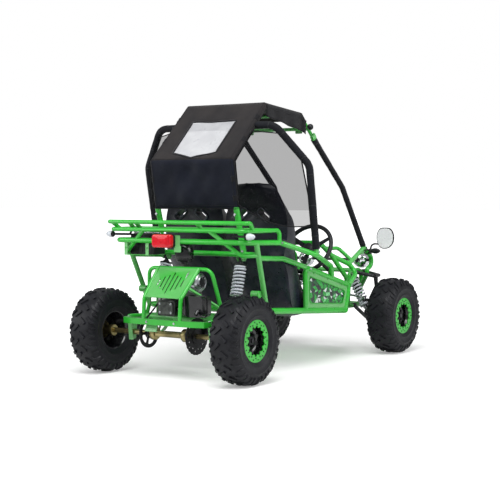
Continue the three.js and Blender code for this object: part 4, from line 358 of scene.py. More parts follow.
class Shell:
    """One piece's surface, gathered from tubes, plates and turned parts, in mm.

    mark is the number, in the piece's list of materials, that the faces added next get.
    """

    def __init__(self):
        self.places = []
        self.faces = []
        self.marks = []
        self.mark = 0

    def add(self, places, faces):
        base = len(self.places)
        self.places += places
        self.faces += [tuple(i + base for i in face) for face in faces]
        self.marks += [self.mark] * len(faces)
        return self

    def along(self, points, radii, sides=16, closed=False, flat=1.0):
        """Rings carried along a line without twist. radii is one number, or one for each point."""
        count = len(points)
        radii = [radii] * count if isinstance(radii, (int, float)) else radii
        ways = directions(points, closed)
        side = ways[0].cross(UP)
        if side.length < 0.2:
            side = ways[0].cross(FORWARD)
        side.normalize()
        places = []
        for i, way in enumerate(ways):
            if i:
                side = ways[i - 1].rotation_difference(way) @ side
                side = (side - way * side.dot(way)).normalized()
            lift = way.cross(side) * flat
            places += [points[i] + (side * u + lift * v) * radii[i] for u, v in circle(sides, 1)]
        faces = quads(count, sides, closed)
        if not closed:
            faces.append(tuple(range(sides))[::-1])
            faces.append(tuple((count - 1) * sides + k for k in range(sides)))
        return self.add(places, faces)

    def tube(self, corners, radius, bend=42, sides=16):
        return self.along(route(corners, bend), radius, sides)

    def both(self, corners, radius, bend=42, sides=16):
        """A tube on the right and one on the left."""
        return self.tube(corners, radius, bend, sides).tube(mirrored(corners), radius, bend, sides)

    def ribbon(self, points, out, width, thickness):
        """A flat band along a closed line, its face looking out."""
        places = []
        lift = out * thickness / 2
        for p, way in zip(points, directions(points, closed=True)):
            side = way.cross(out).normalized() * width / 2
            places += [p - side - lift, p + side - lift, p + side + lift, p - side + lift]
        return self.add(places, quads(len(points), 4, closed=True))

    def hoop(self, corners, radius, bend=42, sides=16):
        """A tube from the right side's corners on to those of the left side."""
        return self.tube(corners + mirrored(corners)[::-1], radius, bend, sides)

    def across(self, half, y, z, radius):
        return self.tube([V(-half, y, z), V(half, y, z)], radius)

    def rod(self, a, b, radius, sides=28):
        return self.along([a, b], radius, sides)

    def hex(self, a, b, radius):
        return self.along([a, b], radius, 6)

    def bolt(self, place, way, size=6.0):
        """A hexagon head on its washer; way points outward."""
        way = way.normalized()
        self.rod(place - way * 0.5, place + way * size * 0.25, size * 1.25, sides=20)
        self.hex(place, place + way * size * 0.85, size)
        return self.rod(place, place + way * size * 1.25, size * 0.5, sides=12)

    def plate(self, outline, thickness, origin, along, upward, holes=()):
        """A sheet with holes; its outline is in the plane of along and upward."""
        normal = along.cross(upward).normalized()
        rings = [list(outline)] + [list(hole) for hole in holes]
        flat = [[Vector((u, v, 0)) for u, v in ring] for ring in rings]
        order = [p for ring in flat for p in ring]
        count = len(order)
        places = [origin + along * p.x + upward * p.y + normal * lift for lift in (0, thickness) for p in order]
        faces = []
        for tri in tessellate_polygon(flat):
            a, b, c = (order[i] for i in tri)
            tri = tri if (b - a).cross(c - a).z > 0 else tri[::-1]
            faces.append(tuple(i + count for i in tri))
            faces.append(tuple(tri[::-1]))
        base = 0
        for index, ring in enumerate(flat):
            area = sum(p.x * q.y - q.x * p.y for p, q in zip(ring, ring[1:] + ring[:1]))
            for k in range(len(ring)):
                a, b = base + k, base + (k + 1) % len(ring)
                quad = (a, b, b + count, a + count)
                faces.append(quad if (area > 0) == (index == 0) else quad[::-1])
            base += len(ring)
        return self.add(places, faces)

    def block(self, centre, width, depth, height):
        w, h = width / 2, height / 2
        outline = [(-w, -h), (w, -h), (w, h), (-w, h)]
        return self.plate(outline, depth, centre + FORWARD * depth / 2, RIGHT, UP)

    def lathe(self, profile, origin, axis, sides=48, closed=False):
        """profile is a list of (radius, distance along the axis)."""
        turn = FORWARD.rotation_difference(axis.normalized())
        places = []
        for radius, h in profile:
            places += [origin + turn @ V(u, h, v) for u, v in circle(sides, radius)]
        return self.add(places, quads(len(profile), sides, closed))

    def ring(self, centre, axis, big, small, steps=64, sides=14):
        axis = axis.normalized()
        side = axis.cross(UP if abs(axis.z) < 0.8 else FORWARD).normalized()
        lift = axis.cross(side)
        return self.along([centre + side * u + lift * v for u, v in circle(steps, big)], small, sides, closed=True)

    def ball(self, centre, radius):
        rows, sides = 12, 24
        places = []
        for i in range(rows + 1):
            flat, rise = polar(radius, pi * (0.5 - i / rows))
            places += [centre + V(u, v, rise) for u, v in circle(sides, flat)]
        return self.add(places, [(a, d, c, b) for a, b, c, d in quads(rows + 1, sides)])

    def grid(self, rows, wrap=False):
        """A surface through rows of places."""
        return self.add([p for line in rows for p in line], quads(len(rows), len(rows[0]), wrap=wrap))

    def placed(self, change):
        """A copy with each place moved by change(place)."""
        copy = Shell()
        copy.places = [change(p) for p in self.places]
        copy.faces, copy.marks = list(self.faces), list(self.marks)
        return copy

    def flipped(self):
        """A copy on the other side of the kart."""
        copy = self.placed(lambda p: V(-p.x, p.y, p.z))
        copy.faces = [face[::-1] for face in copy.faces]
        return copy


def piece(name, shell, materials, body, nodes=(), slot=None, bevel=0.0, smooth=38, solid=0.0):
    """A shell as an object on its body. smooth is in degrees; bevel and solid, a sheet's thickness, in mm."""
    materials = materials if isinstance(materials, (list, tuple)) else [materials]
    mesh = bpy.data.meshes.new(name)
    mesh.from_pydata([row(p) for p in shell.places], [], shell.faces)
    for material in materials:
        mesh.materials.append(material)
    mesh.polygons.foreach_set("material_index", shell.marks)
    mesh.validate()
    mesh.shade_smooth()
    if smooth < 180:
        mesh.set_sharp_from_angle(angle=radians(smooth))
    obj = bpy.data.objects.new(name, mesh)
    bpy.context.scene.collection.objects.link(obj)
    if solid:
        thick = obj.modifiers.new("thick", "SOLIDIFY")
        thick.thickness = solid * MM
        thick.offset = 0
    if bevel:
        round_off = obj.modifiers.new("bevel", "BEVEL")
        round_off.width = bevel * MM
        round_off.segments = 2
        round_off.limit_method = "ANGLE"
        round_off.angle_limit = radians(40)
        round_off.harden_normals = True
    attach(obj, body)
    if nodes:
        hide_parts(*([nodes] if isinstance(nodes, str) else nodes))
    return obj


def pair(name, shell, materials, body, nodes=(), slot=None, **looks):
    """The right piece and its mirror image. A name, body or node that ends in _ gets its side."""
    made = []
    for tag, part in (("right", shell), ("left", shell.flipped())):
        def sided(text):
            return text + tag if text.endswith("_") else text

        held = [sided(node) for node in ([nodes] if isinstance(nodes, str) else nodes)]
        made.append(piece(sided(name), part, materials, sided(body), held, slot, **looks))
    return made


def rounded(corners, radius, steps=5):
    """Outline corners as arcs."""
    out = []
    flat = [Vector((u, v)) for u, v in corners]
    for i, here in enumerate(flat):
        before, after = flat[i - 1], flat[(i + 1) % len(flat)]
        reach = min(radius, (before - here).length * LEG_SHARE, (after - here).length * LEG_SHARE)
        start = here + (before - here).normalized() * reach
        end = here + (after - here).normalized() * reach
        for k in range(steps + 1):
            s = k / steps
            p = start * (1 - s) ** 2 + here * 2 * s * (1 - s) + end * s * s
            out.append((p.x, p.y))
    return out


def box_outline(w, h, radius=0, steps=5):
    corners = [(-w / 2, -h / 2), (w / 2, -h / 2), (w / 2, h / 2), (-w / 2, h / 2)]
    return rounded(corners, radius, steps) if radius else corners


# ---------------------------------------------------------------- frame routes

# Tube radii: frame, floor rails, rack, engine guard and canopy bows
MAIN, FLOOR_R, RACK_R, GUARD_R, BOW_R = 12.5, 15, 10, 9.5, 9
floor_rear, floor_knee = V(350, 266, 310), V(350, 1000, 258)
nose_rear, nose_front = V(168, 1332, 247), V(168, 1496, 247)


def station(a, b, y):
    """The place at y on the line from a to b."""
    return a.lerp(b, (y - a.y) / (b.y - a.y))


def floor_rail(y):
    return station(floor_rear, floor_knee, y)


rail_rear, rail_shoulder, rail_bulge = V(372, 42, 636), V(400, 300, 630), V(478, 503, 566)
rail_joint = rail_shoulder.lerp(rail_bulge, 0.16)
post_top = rail_rear.lerp(rail_shoulder, 88 / 258)


def post(z):
    return floor_rear.lerp(post_top, (z - floor_rear.z) / (post_top.z - floor_rear.z))


panel_top_rear, panel_top_front = V(350, 603, 501), V(350, 1039, 386)
panel_low_rear, panel_low_front = floor_rail(613), floor_rail(998)
hoop_knee = V(484, 424, 992)
hoop_top = V(340, 345, 1182)
hoop_base = rail_bulge.lerp(hoop_knee, (596 - rail_bulge.z) / (hoop_knee.z - rail_bulge.z))
dash_top, dash_mid, dash_bend = V(250, 912, 606), V(250, 1030, 538), V(262, 1172, 411)
hip = V(288, 1258, 456)
pillar_foot = V(250, 1378, 566)
stay_start = dash_mid.lerp(hip, 0.62)
hem, knee = V(232, 186, 788), V(232, 148, 1014)
roof_rear, roof_front = V(226, 430, 1284), V(196, 806, 1258)
header, pillar_top = V(206, 866, 1190), V(216, 892, 1150)
pillar_mid = V(216, 1200, 894)
tower_rear, tower_front = WHEEL_BASE - 68.3, WHEEL_BASE + 68.3


def ears(shell, eye, half, thickness, outline):
    """Two plates beside an eye whose bolt runs along x."""
    for x in (eye.x + half, eye.x - half - thickness):
        shell.plate(outline, thickness, V(x, eye.y, eye.z), FORWARD, UP)
    shell.rod(eye - RIGHT * (half + 12), eye + RIGHT * (half + 12), 5)
    shell.hex(eye + RIGHT * (half + 6), eye + RIGHT * (half + 11), 8.5)
    shell.hex(eye - RIGHT * (half + 11), eye - RIGHT * (half + 6), 8.5)


# The mirrors and front signals clamp on to the front pillars, which lean this way
PILLAR_WAY = V(0, 0.87, -0.5)
STEER = V(212, 856, 578)
COLUMN = V(0, cos(radians(30)), -sin(radians(30)))
COLUMN_END = STEER + COLUMN * 236
# Front suspension on the right side: pivots as (x, z), the distance of their sleeves from the
# wheel's centre along the kart, and the ends of the shock absorber
LOWER_PIVOT, UPPER_PIVOT = (195.3, 250), (202.8, 432)
SLEEVE_Y = 50
FRONT_EYE, FRONT_FOOT = V(158, 1404, 416), V(262, 1404, 222)


def make_floor():
    s = Shell()
    s.hoop([nose_front, nose_rear, floor_knee, floor_rear], FLOOR_R, sides=20)
    for p in (floor_rail(330), floor_rail(808), floor_knee, nose_rear, nose_front):
        s.across(p.x, p.y, p.z, MAIN)
    rows = []
    for a, b in ((floor_rail(808), floor_knee), (floor_knee, nose_rear)):
        for k in range(9):
            p = a.lerp(b, k / 8)
            ripple = 0.8 * sin(k * pi / 8)
            rows.append([V(p.x * u, p.y, p.z - 11 + ripple * sin(u * 9)) for u in (j / 8 - 1 for j in range(17))])
    s.mark = 1
    s.grid(rows)
    for i in range(9):
        p = floor_rail(808).lerp(floor_knee, 0.1 + i * 0.1)
        s.along([V(-p.x + 60, p.y, p.z - 10), V(p.x - 60, p.y, p.z - 10)], 4, 8, flat=0.5)
    s.mark = 0
    for side in (1, -1):
        outline = [(-21, 0), (-15, -15), (0, -21), (15, -15), (21, 0), (12.5, 44), (-12.5, 44)]
        x = side * 262.3 - (6 if side < 0 else 0)
        s.plate(rounded(outline, 8, 3), 6, V(x, 330, 262), FORWARD, UP)
        s.rod(V(side * 232, 330, 262), V(side * 268, 330, 262), 7)
        s.bolt(V(side * 268, 330, 262), RIGHT * side, 8)
        plate = [(1289, 335), (1289, 301), (1332, 247), (1344, 247), (1323, 335)]
        s.plate(plate, 6, V(side * 60 - 3, 0, 0), FORWARD, UP)
    for x in (THROTTLE_X, BRAKE_X):
        outline = [(1232, 236), (1268, 236), (1256, 258), (1244, 258)]
        for left in (x - 18.3, x + 12.3):
            s.plate(outline, 6, V(left, 0, 0), FORWARD, UP)
        s.rod(V(x - 21, 1250, 252), V(x + 21, 1250, 252), 4)
    piece("floor_rails", s, [GREEN, GREEN_SHEET], "chassis", "floor_frame", "green_paint")


def make_rear_frame():
    s = Shell()
    s.hoop([rail_joint, rail_shoulder, rail_rear], MAIN)
    s.both([floor_rear, post_top], MAIN)
    s.hoop([post(574), V(300, 222, 574)], MAIN)
    s.both([V(312, 200, 392), V(352, 200, 392)], 17)
    s.both([V(250, 222, 574), V(232, 212, 700), hem], 14, sides=20)
    s.both([V(192, 24, 688), V(338, 74, 574), post(574)], RACK_R)
    for side in (1, -1):
        s.lathe([(0, 9), (9, 9), (13, 7), (14.5, 3), (14.5, 0)], hem, UP, 24)
        p = post(392)
        s.plate([(200, 379.5), (p.y, 379.5), (p.y, 404.5), (200, 404.5)], 6, V(side * 346 - 3, 0, 0), FORWARD, UP)
        ears(s, V(side * 222, 244, 552), 11.3, 6, [(-11, -11), (11, -11), (-11, 22), (-33, 22)])
        s.ring(V(side * 352, 200, 392), RIGHT, 14, 3)
    s.mark = 1
    bottom = 617 - 49 - 1.8
    s.plate(box_outline(148, 129, 6), 3, V(BATTERY_X, 106.5, bottom - 1.5), RIGHT, FORWARD)
    for end in (-1, 1):
        s.block(V(BATTERY_X + end * 65, 42, (636 + bottom) / 2), 18, 3, 636 - bottom + 3)
        s.bolt(V(BATTERY_X + end * 65, 40, 600), -FORWARD, 4)
    s.plate(box_outline(112, 54, 6), 3, V(-34, 31, 637), RIGHT, UP)
    s.plate(box_outline(40, 30, 4), 3, V(8, 30, 600), RIGHT, UP)
    piece("rear_rails", s, [GREEN, GREEN_SHEET], "chassis", "rear_frame", "green_paint")


def make_rack():
    s = Shell()
    z = 688
    s.hoop([V(402, 292, 636), V(402, 292, z), V(390, 24, z)], RACK_R, 26)
    s.across(402, 236.3, z, RACK_R)
    s.across(390, 70, z, RACK_R)
    s.hoop([V(390, 92, z), V(406, 46, z + 36), V(406, 24, z + 36)], RACK_R, 26)
    for share in (-0.72, -0.62, 0.31):
        s.tube([V(390 * share, 24, z + 36), V(390 * share, 70, z)], RACK_R)
    piece("rack_rails", s, GREEN, "chassis", "cargo_rack", "green_paint")


def inset(corners, distance):
    """An outline moved inward by a distance."""
    out = []
    for i, here in enumerate(corners):
        a = (here - corners[i - 1]).normalized()
        b = (corners[(i + 1) % len(corners)] - here).normalized()
        inward = (Vector((-a.y, a.x)) + Vector((-b.y, b.x))).normalized()
        out.append(here + inward * distance / cos(a.angle(b) / 2))
    return out


PANEL = [Vector((p.y, p.z)) for p in (panel_low_rear, panel_low_front, panel_top_front, panel_top_rear)]


def make_sides():
    s = Shell()
    s.tube([rail_joint + (rail_bulge - rail_shoulder).normalized() * 0.3, rail_bulge, V(376, 812, 496),
            panel_top_rear.lerp(panel_top_front, 263 / 436)], MAIN)
    s.rod(rail_bulge, hoop_base, 13)
    s.tube([post(561.5), V(368, 378, 551), panel_top_rear], MAIN)
    s.tube([panel_low_rear, panel_top_rear, panel_top_front, panel_low_front], MAIN, 26)
    s.mark = 1
    window = rounded(inset(PANEL, 36), 16)
    s.plate(inset(PANEL, 4), 5, V(347, 0, 0), FORWARD, UP, [window[::-1]])
    s.along([V(353, u, v) for u, v in window], 2.4, 10, closed=True)
    for share in (0.12, 0.5, 0.88):
        for a, b in ((PANEL[0], PANEL[1]), (PANEL[3], PANEL[2])):
            inner = a.lerp(b, share).lerp(sum(PANEL, Vector((0, 0))) / 4, 0.17)
            s.bolt(V(352, inner.x, inner.y), RIGHT, 3.6)
    s.mark = 2
    s.plate(rounded(inset(PANEL, 32), 16), 3, V(345.5, 0, 0), FORWARD, UP)
    pair("side_rails_", s, [GREEN, GREEN_SHEET, BLACK], "chassis", "side_frame_", "green_paint")


def make_panel_patterns():
    """A mosaic of small shards in greens, white and black: a plain pattern of this file's own."""
    rng = random.Random(41)
    field = inset(PANEL, 38)
    across, up = 12, 5

    def spot(i, j):
        u = (i + (rng.uniform(-0.34, 0.34) if 0 < i < across else 0)) / across
        v = (j + (rng.uniform(-0.34, 0.34) if 0 < j < up else 0)) / up
        return field[0].lerp(field[1], u).lerp(field[3].lerp(field[2], u), v)

    spots = [[spot(i, j) for j in range(up + 1)] for i in range(across + 1)]
    # Numbers into DECALS, as often as they are drawn; None leaves the black panel
    colours = [0] * 6 + [1] * 4 + [2] + [3] * 2 + [None] * 4
    s = Shell()
    for i in range(across):
        for j in range(up):
            a, b, c, d = spots[i][j], spots[i + 1][j], spots[i + 1][j + 1], spots[i][j + 1]
            for shard in (((a, b, c), (a, c, d)) if rng.random() < 0.5 else ((a, b, d), (b, c, d))):
                colour = rng.choice(colours)
                if colour is None:
                    continue
                s.mark = colour
                middle = (shard[0] + shard[1] + shard[2]) / 3
                s.plate([middle.lerp(p, 0.92) for p in shard], 0.5, V(348.6, 0, 0), FORWARD, UP)
    pair("panel_pattern_", s, DECALS, "chassis", slot="green_paint")


def make_front():
    s = Shell()
    s.hoop([station(floor_knee, nose_rear, 1190), dash_bend, dash_mid, dash_top], MAIN)
    s.both([panel_top_front, hip, dash_mid], MAIN)
    s.both([stay_start, pillar_foot], MAIN)
    hood_start = dash_top.lerp(dash_mid, 48 / 118)
    s.both([hood_start, V(215, 1080, 571), V(215, 1160, 571), stay_start.lerp(pillar_foot, 0.2)], RACK_R)
    s.both([pillar_foot, V(246, 1472, 512), V(246, 1472, 464), V(246, 1424, 448), V(246, 1424, 420),
            V(178, tower_front, 350)], MAIN)
    s.both([V(168, tower_rear, 247), V(178, tower_rear, 438), V(178, tower_front, 438), V(168, tower_front, 247)],
           MAIN)
    s.across(178, WHEEL_BASE, 438, MAIN)
    s.across(178, tower_front, 350, MAIN)
    reach = 65.3
    for x, z, held_x, held_z in ((*LOWER_PIVOT, 168, 247), (*UPPER_PIVOT, 178, 426)):
        outline = [(held_x, held_z - 6), (x, z - 10), (x + 9, z - 6), (x + 10, z + 4), (x, z + 10),
                   (held_x, held_z + 6)]
        for side in (1, -1):
            for y in (WHEEL_BASE - reach, WHEEL_BASE + reach + 6):
                shape = outline if side > 0 else [(-u, v) for u, v in outline][::-1]
                s.plate(shape, 6, V(0, y, 0), RIGHT, UP)
            pin = V(side * x, WHEEL_BASE, z)
            s.rod(pin - FORWARD * (reach + 8), pin + FORWARD * (reach + 8), 5)
            for end in (-1, 1):
                s.bolt(pin + FORWARD * end * (reach + 6), FORWARD * end, 5.5)
    for side in (1, -1):
        eye = V(side * FRONT_EYE.x, FRONT_EYE.y, FRONT_EYE.z)
        outline = [(eye.x - 11, eye.z), (eye.x, eye.z - 11), (eye.x + 11, eye.z), (side * 178 + 11, 438),
                   (side * 178 - 11, 438)]
        for y in (eye.y + 17.3, eye.y - 11.3):
            s.plate(outline, 6, V(0, y, 0), RIGHT, UP)
        s.rod(eye - FORWARD * 24, eye + FORWARD * 24, 5)
        s.hex(eye + FORWARD * 17, eye + FORWARD * 23, 8)
    rise = RIGHT.cross(COLUMN).normalized()
    held = STEER + COLUMN * (V(0, 56, 28).dot(COLUMN))
    lift = (V(212, 912, 606) - held).dot(rise)
    s.plate(rounded([(-16, -16), (16, -16), (16, lift), (-16, lift)], 4, 2), 6, held + COLUMN * 3, RIGHT, rise,
            [circle(16, 10.5, -1)])
    for side in (1, -1):
        s.plate(box_outline(48, 28, 5, 3), 4, V(side * 250, 1352, 545), FORWARD, V(0, 0.3, 0.954))
    piece("front_rails", s, [GREEN, GREEN_SHEET], "chassis", "front_frame", "green_paint")


def make_canopy_frame():
    s = Shell()
    s.both([hem, knee, roof_rear, roof_front, header, pillar_top], BOW_R)
    for p in (knee, roof_rear, roof_front, header):
        s.across(p.x, p.y, p.z, BOW_R)
    piece("canopy_bows", s, GREEN, "chassis", "canopy_frame", "green_paint")


def wrinkled(points, radius, seed, folds=0.9):
    """Radii for a sleeve pushed on to a tube: soft random swells."""
    rng = random.Random(seed)
    return [radius - folds * rng.random() ** 2 for _ in points]


def finer(points, pitch):
    """The same line with a point at each pitch."""
    out = [points[0]]
    for a, b in zip(points, points[1:]):
        steps = max(1, round((b - a).length / pitch))
        out += [a.lerp(b, k / steps) for k in range(1, steps + 1)]
    return out


def make_sleeves():
    for side in (1, -1):
        s = Shell()
        line = [pillar_top.lerp(pillar_mid, 0.045), pillar_mid, pillar_foot.lerp(pillar_mid, 0.03)]
        points = finer(route(line if side > 0 else mirrored(line)), 14)
        s.along(points, wrinkled(points, 15.5, 3 + side), 20)
        for share in (0.015, 0.985):
            i = round(share * (len(points) - 1))
            s.along([points[max(i - 1, 0)], points[min(i + 1, len(points) - 1)]], 16.4, 20)
        sleeve = piece("pillar_sleeve_" + ("right" if side > 0 else "left"), s, SLEEVE, "chassis",
                       slot="canopy_cloth", smooth=180)
    g = Shell()
    g.rod(pillar_foot.lerp(pillar_mid, 0.035), pillar_foot, 12.8)
    g.rod(pillar_top, pillar_top.lerp(pillar_mid, 0.05), 12.8)
    g.plate(box_outline(26, 30, 6, 3), 4, pillar_top + RIGHT * 9, V(0, 0.64, -0.77), V(0, 0.77, 0.64))
    g.bolt(pillar_top + V(12, 8, -8), RIGHT, 5)
    g.bolt(pillar_top + V(12, -8, 14), RIGHT, 5)
    pair("pillar_ends_", g, GREEN, "chassis", slot="green_paint")
    c = Shell()
    c.lathe([(0, 8), (12.5, 8), (15.5, 12), (15.5, 22), (12, 29), (0, 32)], V(206, 858, 1199), RIGHT, 32)
    pair("header_cap_", c, PLASTIC, "chassis", slot="black_plastic")


def make_hoop():
    s = Shell()
    corners = [hoop_base + (hoop_knee - hoop_base).normalized() * 0.3, hoop_knee, hoop_top]
    points = finer(route(corners + mirrored(corners)[::-1], 80, 6), 16)
    s.along(points, wrinkled(points, 18, 5, 0.7), 24)
    sleeve = piece("hoop_foam", s, FOAM, "chassis", "roll_hoop", "hoop_foam", smooth=60)
    d = Shell()
    for i in range(4, len(points) - 4, 9):
        way = (points[i + 1] - points[i - 1]).normalized()
        d.along([points[i] - way * 2.2, points[i] + way * 2.2], 18.3, 24)
    piece("hoop_ties", d, PLASTIC, "chassis", slot="hoop_foam")


# ---------------------------------------------------------------- cradle, axle, engine

AXLE = V(0, 0, 203)
BAND_Z = 266
SLOT_PITCH = 23
cradle_pivot, cradle_rear, cradle_end = V(236, 330, 262), V(236, 0, 276), V(236, -30, 276)
guard_leg, guard_top = V(212, 92, 326), V(182, 56, 508)
plate_top, plate_bottom = V(118, 46, 508), V(106, -76, 378)


def cradle_rail(y):
    return station(cradle_rear, cradle_pivot, y)


def make_cradle():
    s = Shell()
    s.both([cradle_pivot, cradle_rear, cradle_end], MAIN)
    for y in (72, 160):
        p = cradle_rail(y)
        s.across(p.x, p.y, p.z, MAIN)
    s.hoop([cradle_rail(100), guard_leg, guard_top], GUARD_R)
    s.both([plate_top, plate_bottom, V(106, -84.5, BAND_Z)], GUARD_R, 20)
    s.both([plate_top.lerp(plate_bottom, 0.62), guard_leg], 7)
    s.rod(V(-262, 330, 262), V(262, 330, 262), 15)
    s.mark = 1
    band = [(246, -30), (245, -52), (235, -72), (205, -85), (160, -92), (112, -94)]
    outer = band + [(-x, y) for x, y in band[::-1]]
    inner = [(226, -30), (225, -46), (217, -58), (196, -68), (155, -73), (112, -75)]
    back = inner + [(-x, y) for x, y in inner[::-1]]
    for lift in (8.5, -13.5):
        s.plate(outer[::-1] + back, 5, V(0, 0, BAND_Z + lift), RIGHT, FORWARD)
    s.grid([[V(x, y - 0.5, z) for x, y in outer] for z in (252.8, 255, 277, 279.2)])
    s.grid([[V(x * 0.985, y + 4, z) for x, y in outer] for z in (252.8, 279.2)])
    s.plate(rounded([(-36, -30), (36, -30), (30, 12), (-30, 12)], 6, 3), 5, V(-70, -62, 246), RIGHT, V(0, 0.4, 0.917))
    slope = plate_top - plate_bottom
    slope.x = 0
    height = slope.length
    slope.normalize()
    slots = []
    for k, length in enumerate((40, 72, 92, 128, 90, 74, 40)):
        x = (k - 3) * SLOT_PITCH
        low, high = (height - length) / 2, (height + length) / 2
        slots.append(rounded([(x - 3.2, low), (x - 3.2, high), (x + 3.2, high), (x + 3.2, low)], 3, 2))
    s.plate([(-106, 0), (106, 0), (118, height), (-118, height)], 3, V(0, -76, 378), RIGHT, slope, slots)
    for side in (1, -1):
        hanger = rounded([(-30, 276), (-16, 168), (16, 168), (30, 276)], 9, 3)
        bore = [(u, AXLE.z + v) for u, v in circle(20, 13, -1)]
        s.plate(hanger, 6, V(side * 236 - 3, 0, 0), FORWARD, UP, [bore])
        lip = [(-32, 276), (-18, 166), (-12, 166), (-26, 276)]
        s.plate(lip, 22, V(side * 236 - 11, 0, 0), FORWARD, UP)
        for x in (side * 222 - 14.3, side * 222 + 14.3):
            s.block(V(x, 190, 320), 6, 22, 86)
        s.block(V(side * 222, 190, 284), 35, 22, 6)
        s.rod(V(side * 222 - 22, 190, 352), V(side * 222 + 22, 190, 352), 5)
        s.bolt(V(side * 222 + 17.3, 190, 352), RIGHT, 6)
        s.bolt(V(side * 222 - 17.3, 190, 352), -RIGHT, 6)
        for y in (12, height - 10):
            s.bolt(V(side * 88, -76, 378) + slope * y, slope.cross(RIGHT), 4.5)
    s.plate([(-15, 218.3), (15, 218.3), (78, 271), (66, 271)], 6, V(-60, 0, 0), FORWARD, UP)
    piece("cradle_rails", s, [GREEN, GREEN_SHEET], "cradle", "rear_cradle", "green_paint")


def make_axle():
    s = Shell()
    for side in (1, -1):
        out = RIGHT * side
        s.rod(AXLE, AXLE + out * 441, 12.5)
        s.lathe([(13, 353), (26, 353), (27, 358), (27, 376), (23, 380), (23, 408), (27, 414), (44, 422), (44, 430),
                 (13, 430)], AXLE, out, 40)
        for a in turns(4, 0.5):
            s.along([around(AXLE, side * 372, 12, a), around(AXLE, side * 424, 20, a), around(AXLE, side * 426, 36, a)],
                    [5, 6, 9], 10)
            s.bolt(around(AXLE, side * 421, 32, a), -out, 6)
        s.hex(AXLE + out * 431, AXLE + out * 437, 17)
    piece("axle_and_hubs", s, ZINC, "rear_axle", "axle_shaft", "zinc_plate")

    tooth = [(-0.2, 66), (-0.1, 70), (0.1, 70), (0.2, 66)]
    teeth = [polar(r, a + share * pi / 18) for a in turns(36) for share, r in tooth]
    cut = [(27, -0.42), (52, -0.5), (55, -0.2), (55, 0.2), (52, 0.5), (27, 0.42)]
    holes = [rounded([polar(r, a + t) for r, t in cut], 6, 3)[::-1] for a in turns(5)]
    w = Shell()
    w.plate(teeth, 5, AXLE - RIGHT * 142.5, FORWARD, UP, holes)
    w.lathe([(13, -6), (24, -6), (24, 12), (13, 12)], AXLE - RIGHT * 140, RIGHT, 36)
    for a in turns(5, 0.5):
        w.bolt(around(AXLE, -143, 21, a), -RIGHT, 3.4)
    piece("sprocket_wheel", w, IRON, "rear_axle", "sprocket", "bright_steel", bevel=0.5)

    d = Shell()
    vents = []
    for k, a in enumerate(turns(18)):
        y, z = polar(70 if k % 2 else 60, a)
        vents.append([(y + u, z + v) for u, v in circle(10, 4, -1)])
    rim = [polar(86 - 1.6 * (k % 4 > 1), a) for k, a in enumerate(turns(96))]
    d.plate(rim, 4, AXLE + RIGHT * 138, FORWARD, UP, vents)
    d.lathe([(13, -12), (24, -12), (24, -2), (38, -2), (38, 5), (13, 5)], AXLE + RIGHT * 140, RIGHT, 36)
    piece("brake_rotor", d, IRON, "rear_axle", "brake_disc", "bright_steel", bevel=0.4)

    c = Shell()
    c.lathe([(13.5, -118), (30, -118), (31, -114), (31, -96), (28, -92), (17, -90), (15, -86), (15, 60), (17, 64),
             (28, 66), (31, 70), (31, 88), (30, 92), (13.5, 92)], AXLE, RIGHT, 40)
    for x, out in ((-120, -RIGHT), (93, RIGHT)):
        for a in turns(3):
            c.bolt(around(AXLE, x, 24, a), out, 3)
    piece("bearing_carrier", c, ZINC, "cradle", "axle_carrier", "zinc_plate")

    b = Shell()
    b.block(V(140, 62, 234), 34, 40, 56)
    b.block(V(140, 62, 234), 44, 26, 40)
    b.bolt(V(162, 62, 246), RIGHT, 4)
    b.bolt(V(162, 62, 222), RIGHT, 4)
    b.plate(rounded([(50, 216), (76, 216), (80, 278), (62, 278)], 4, 2), 6, V(116, 0, 0), FORWARD, UP)
    piece("brake_caliper", b, IRON, "cradle", slot="cast_alloy", bevel=3)


def wrapped(small, big, grow, steps):
    """The line that a belt takes round two circles, each (y, z, radius), grown outward."""
    lean = atan2(small[1] - big[1], small[0] - big[0])
    spread = acos((big[2] - small[2]) / hypot(small[0] - big[0], small[1] - big[1]))
    line = []
    for (y, z, radius), a, b in ((small, lean - spread, lean + spread),
                                 (big, lean + spread, lean + 2 * pi - spread)):
        for k in range(steps + 1):
            u, v = polar(radius + grow, a + (b - a) * k / steps)
            line.append((y + u, z + v))
    return line


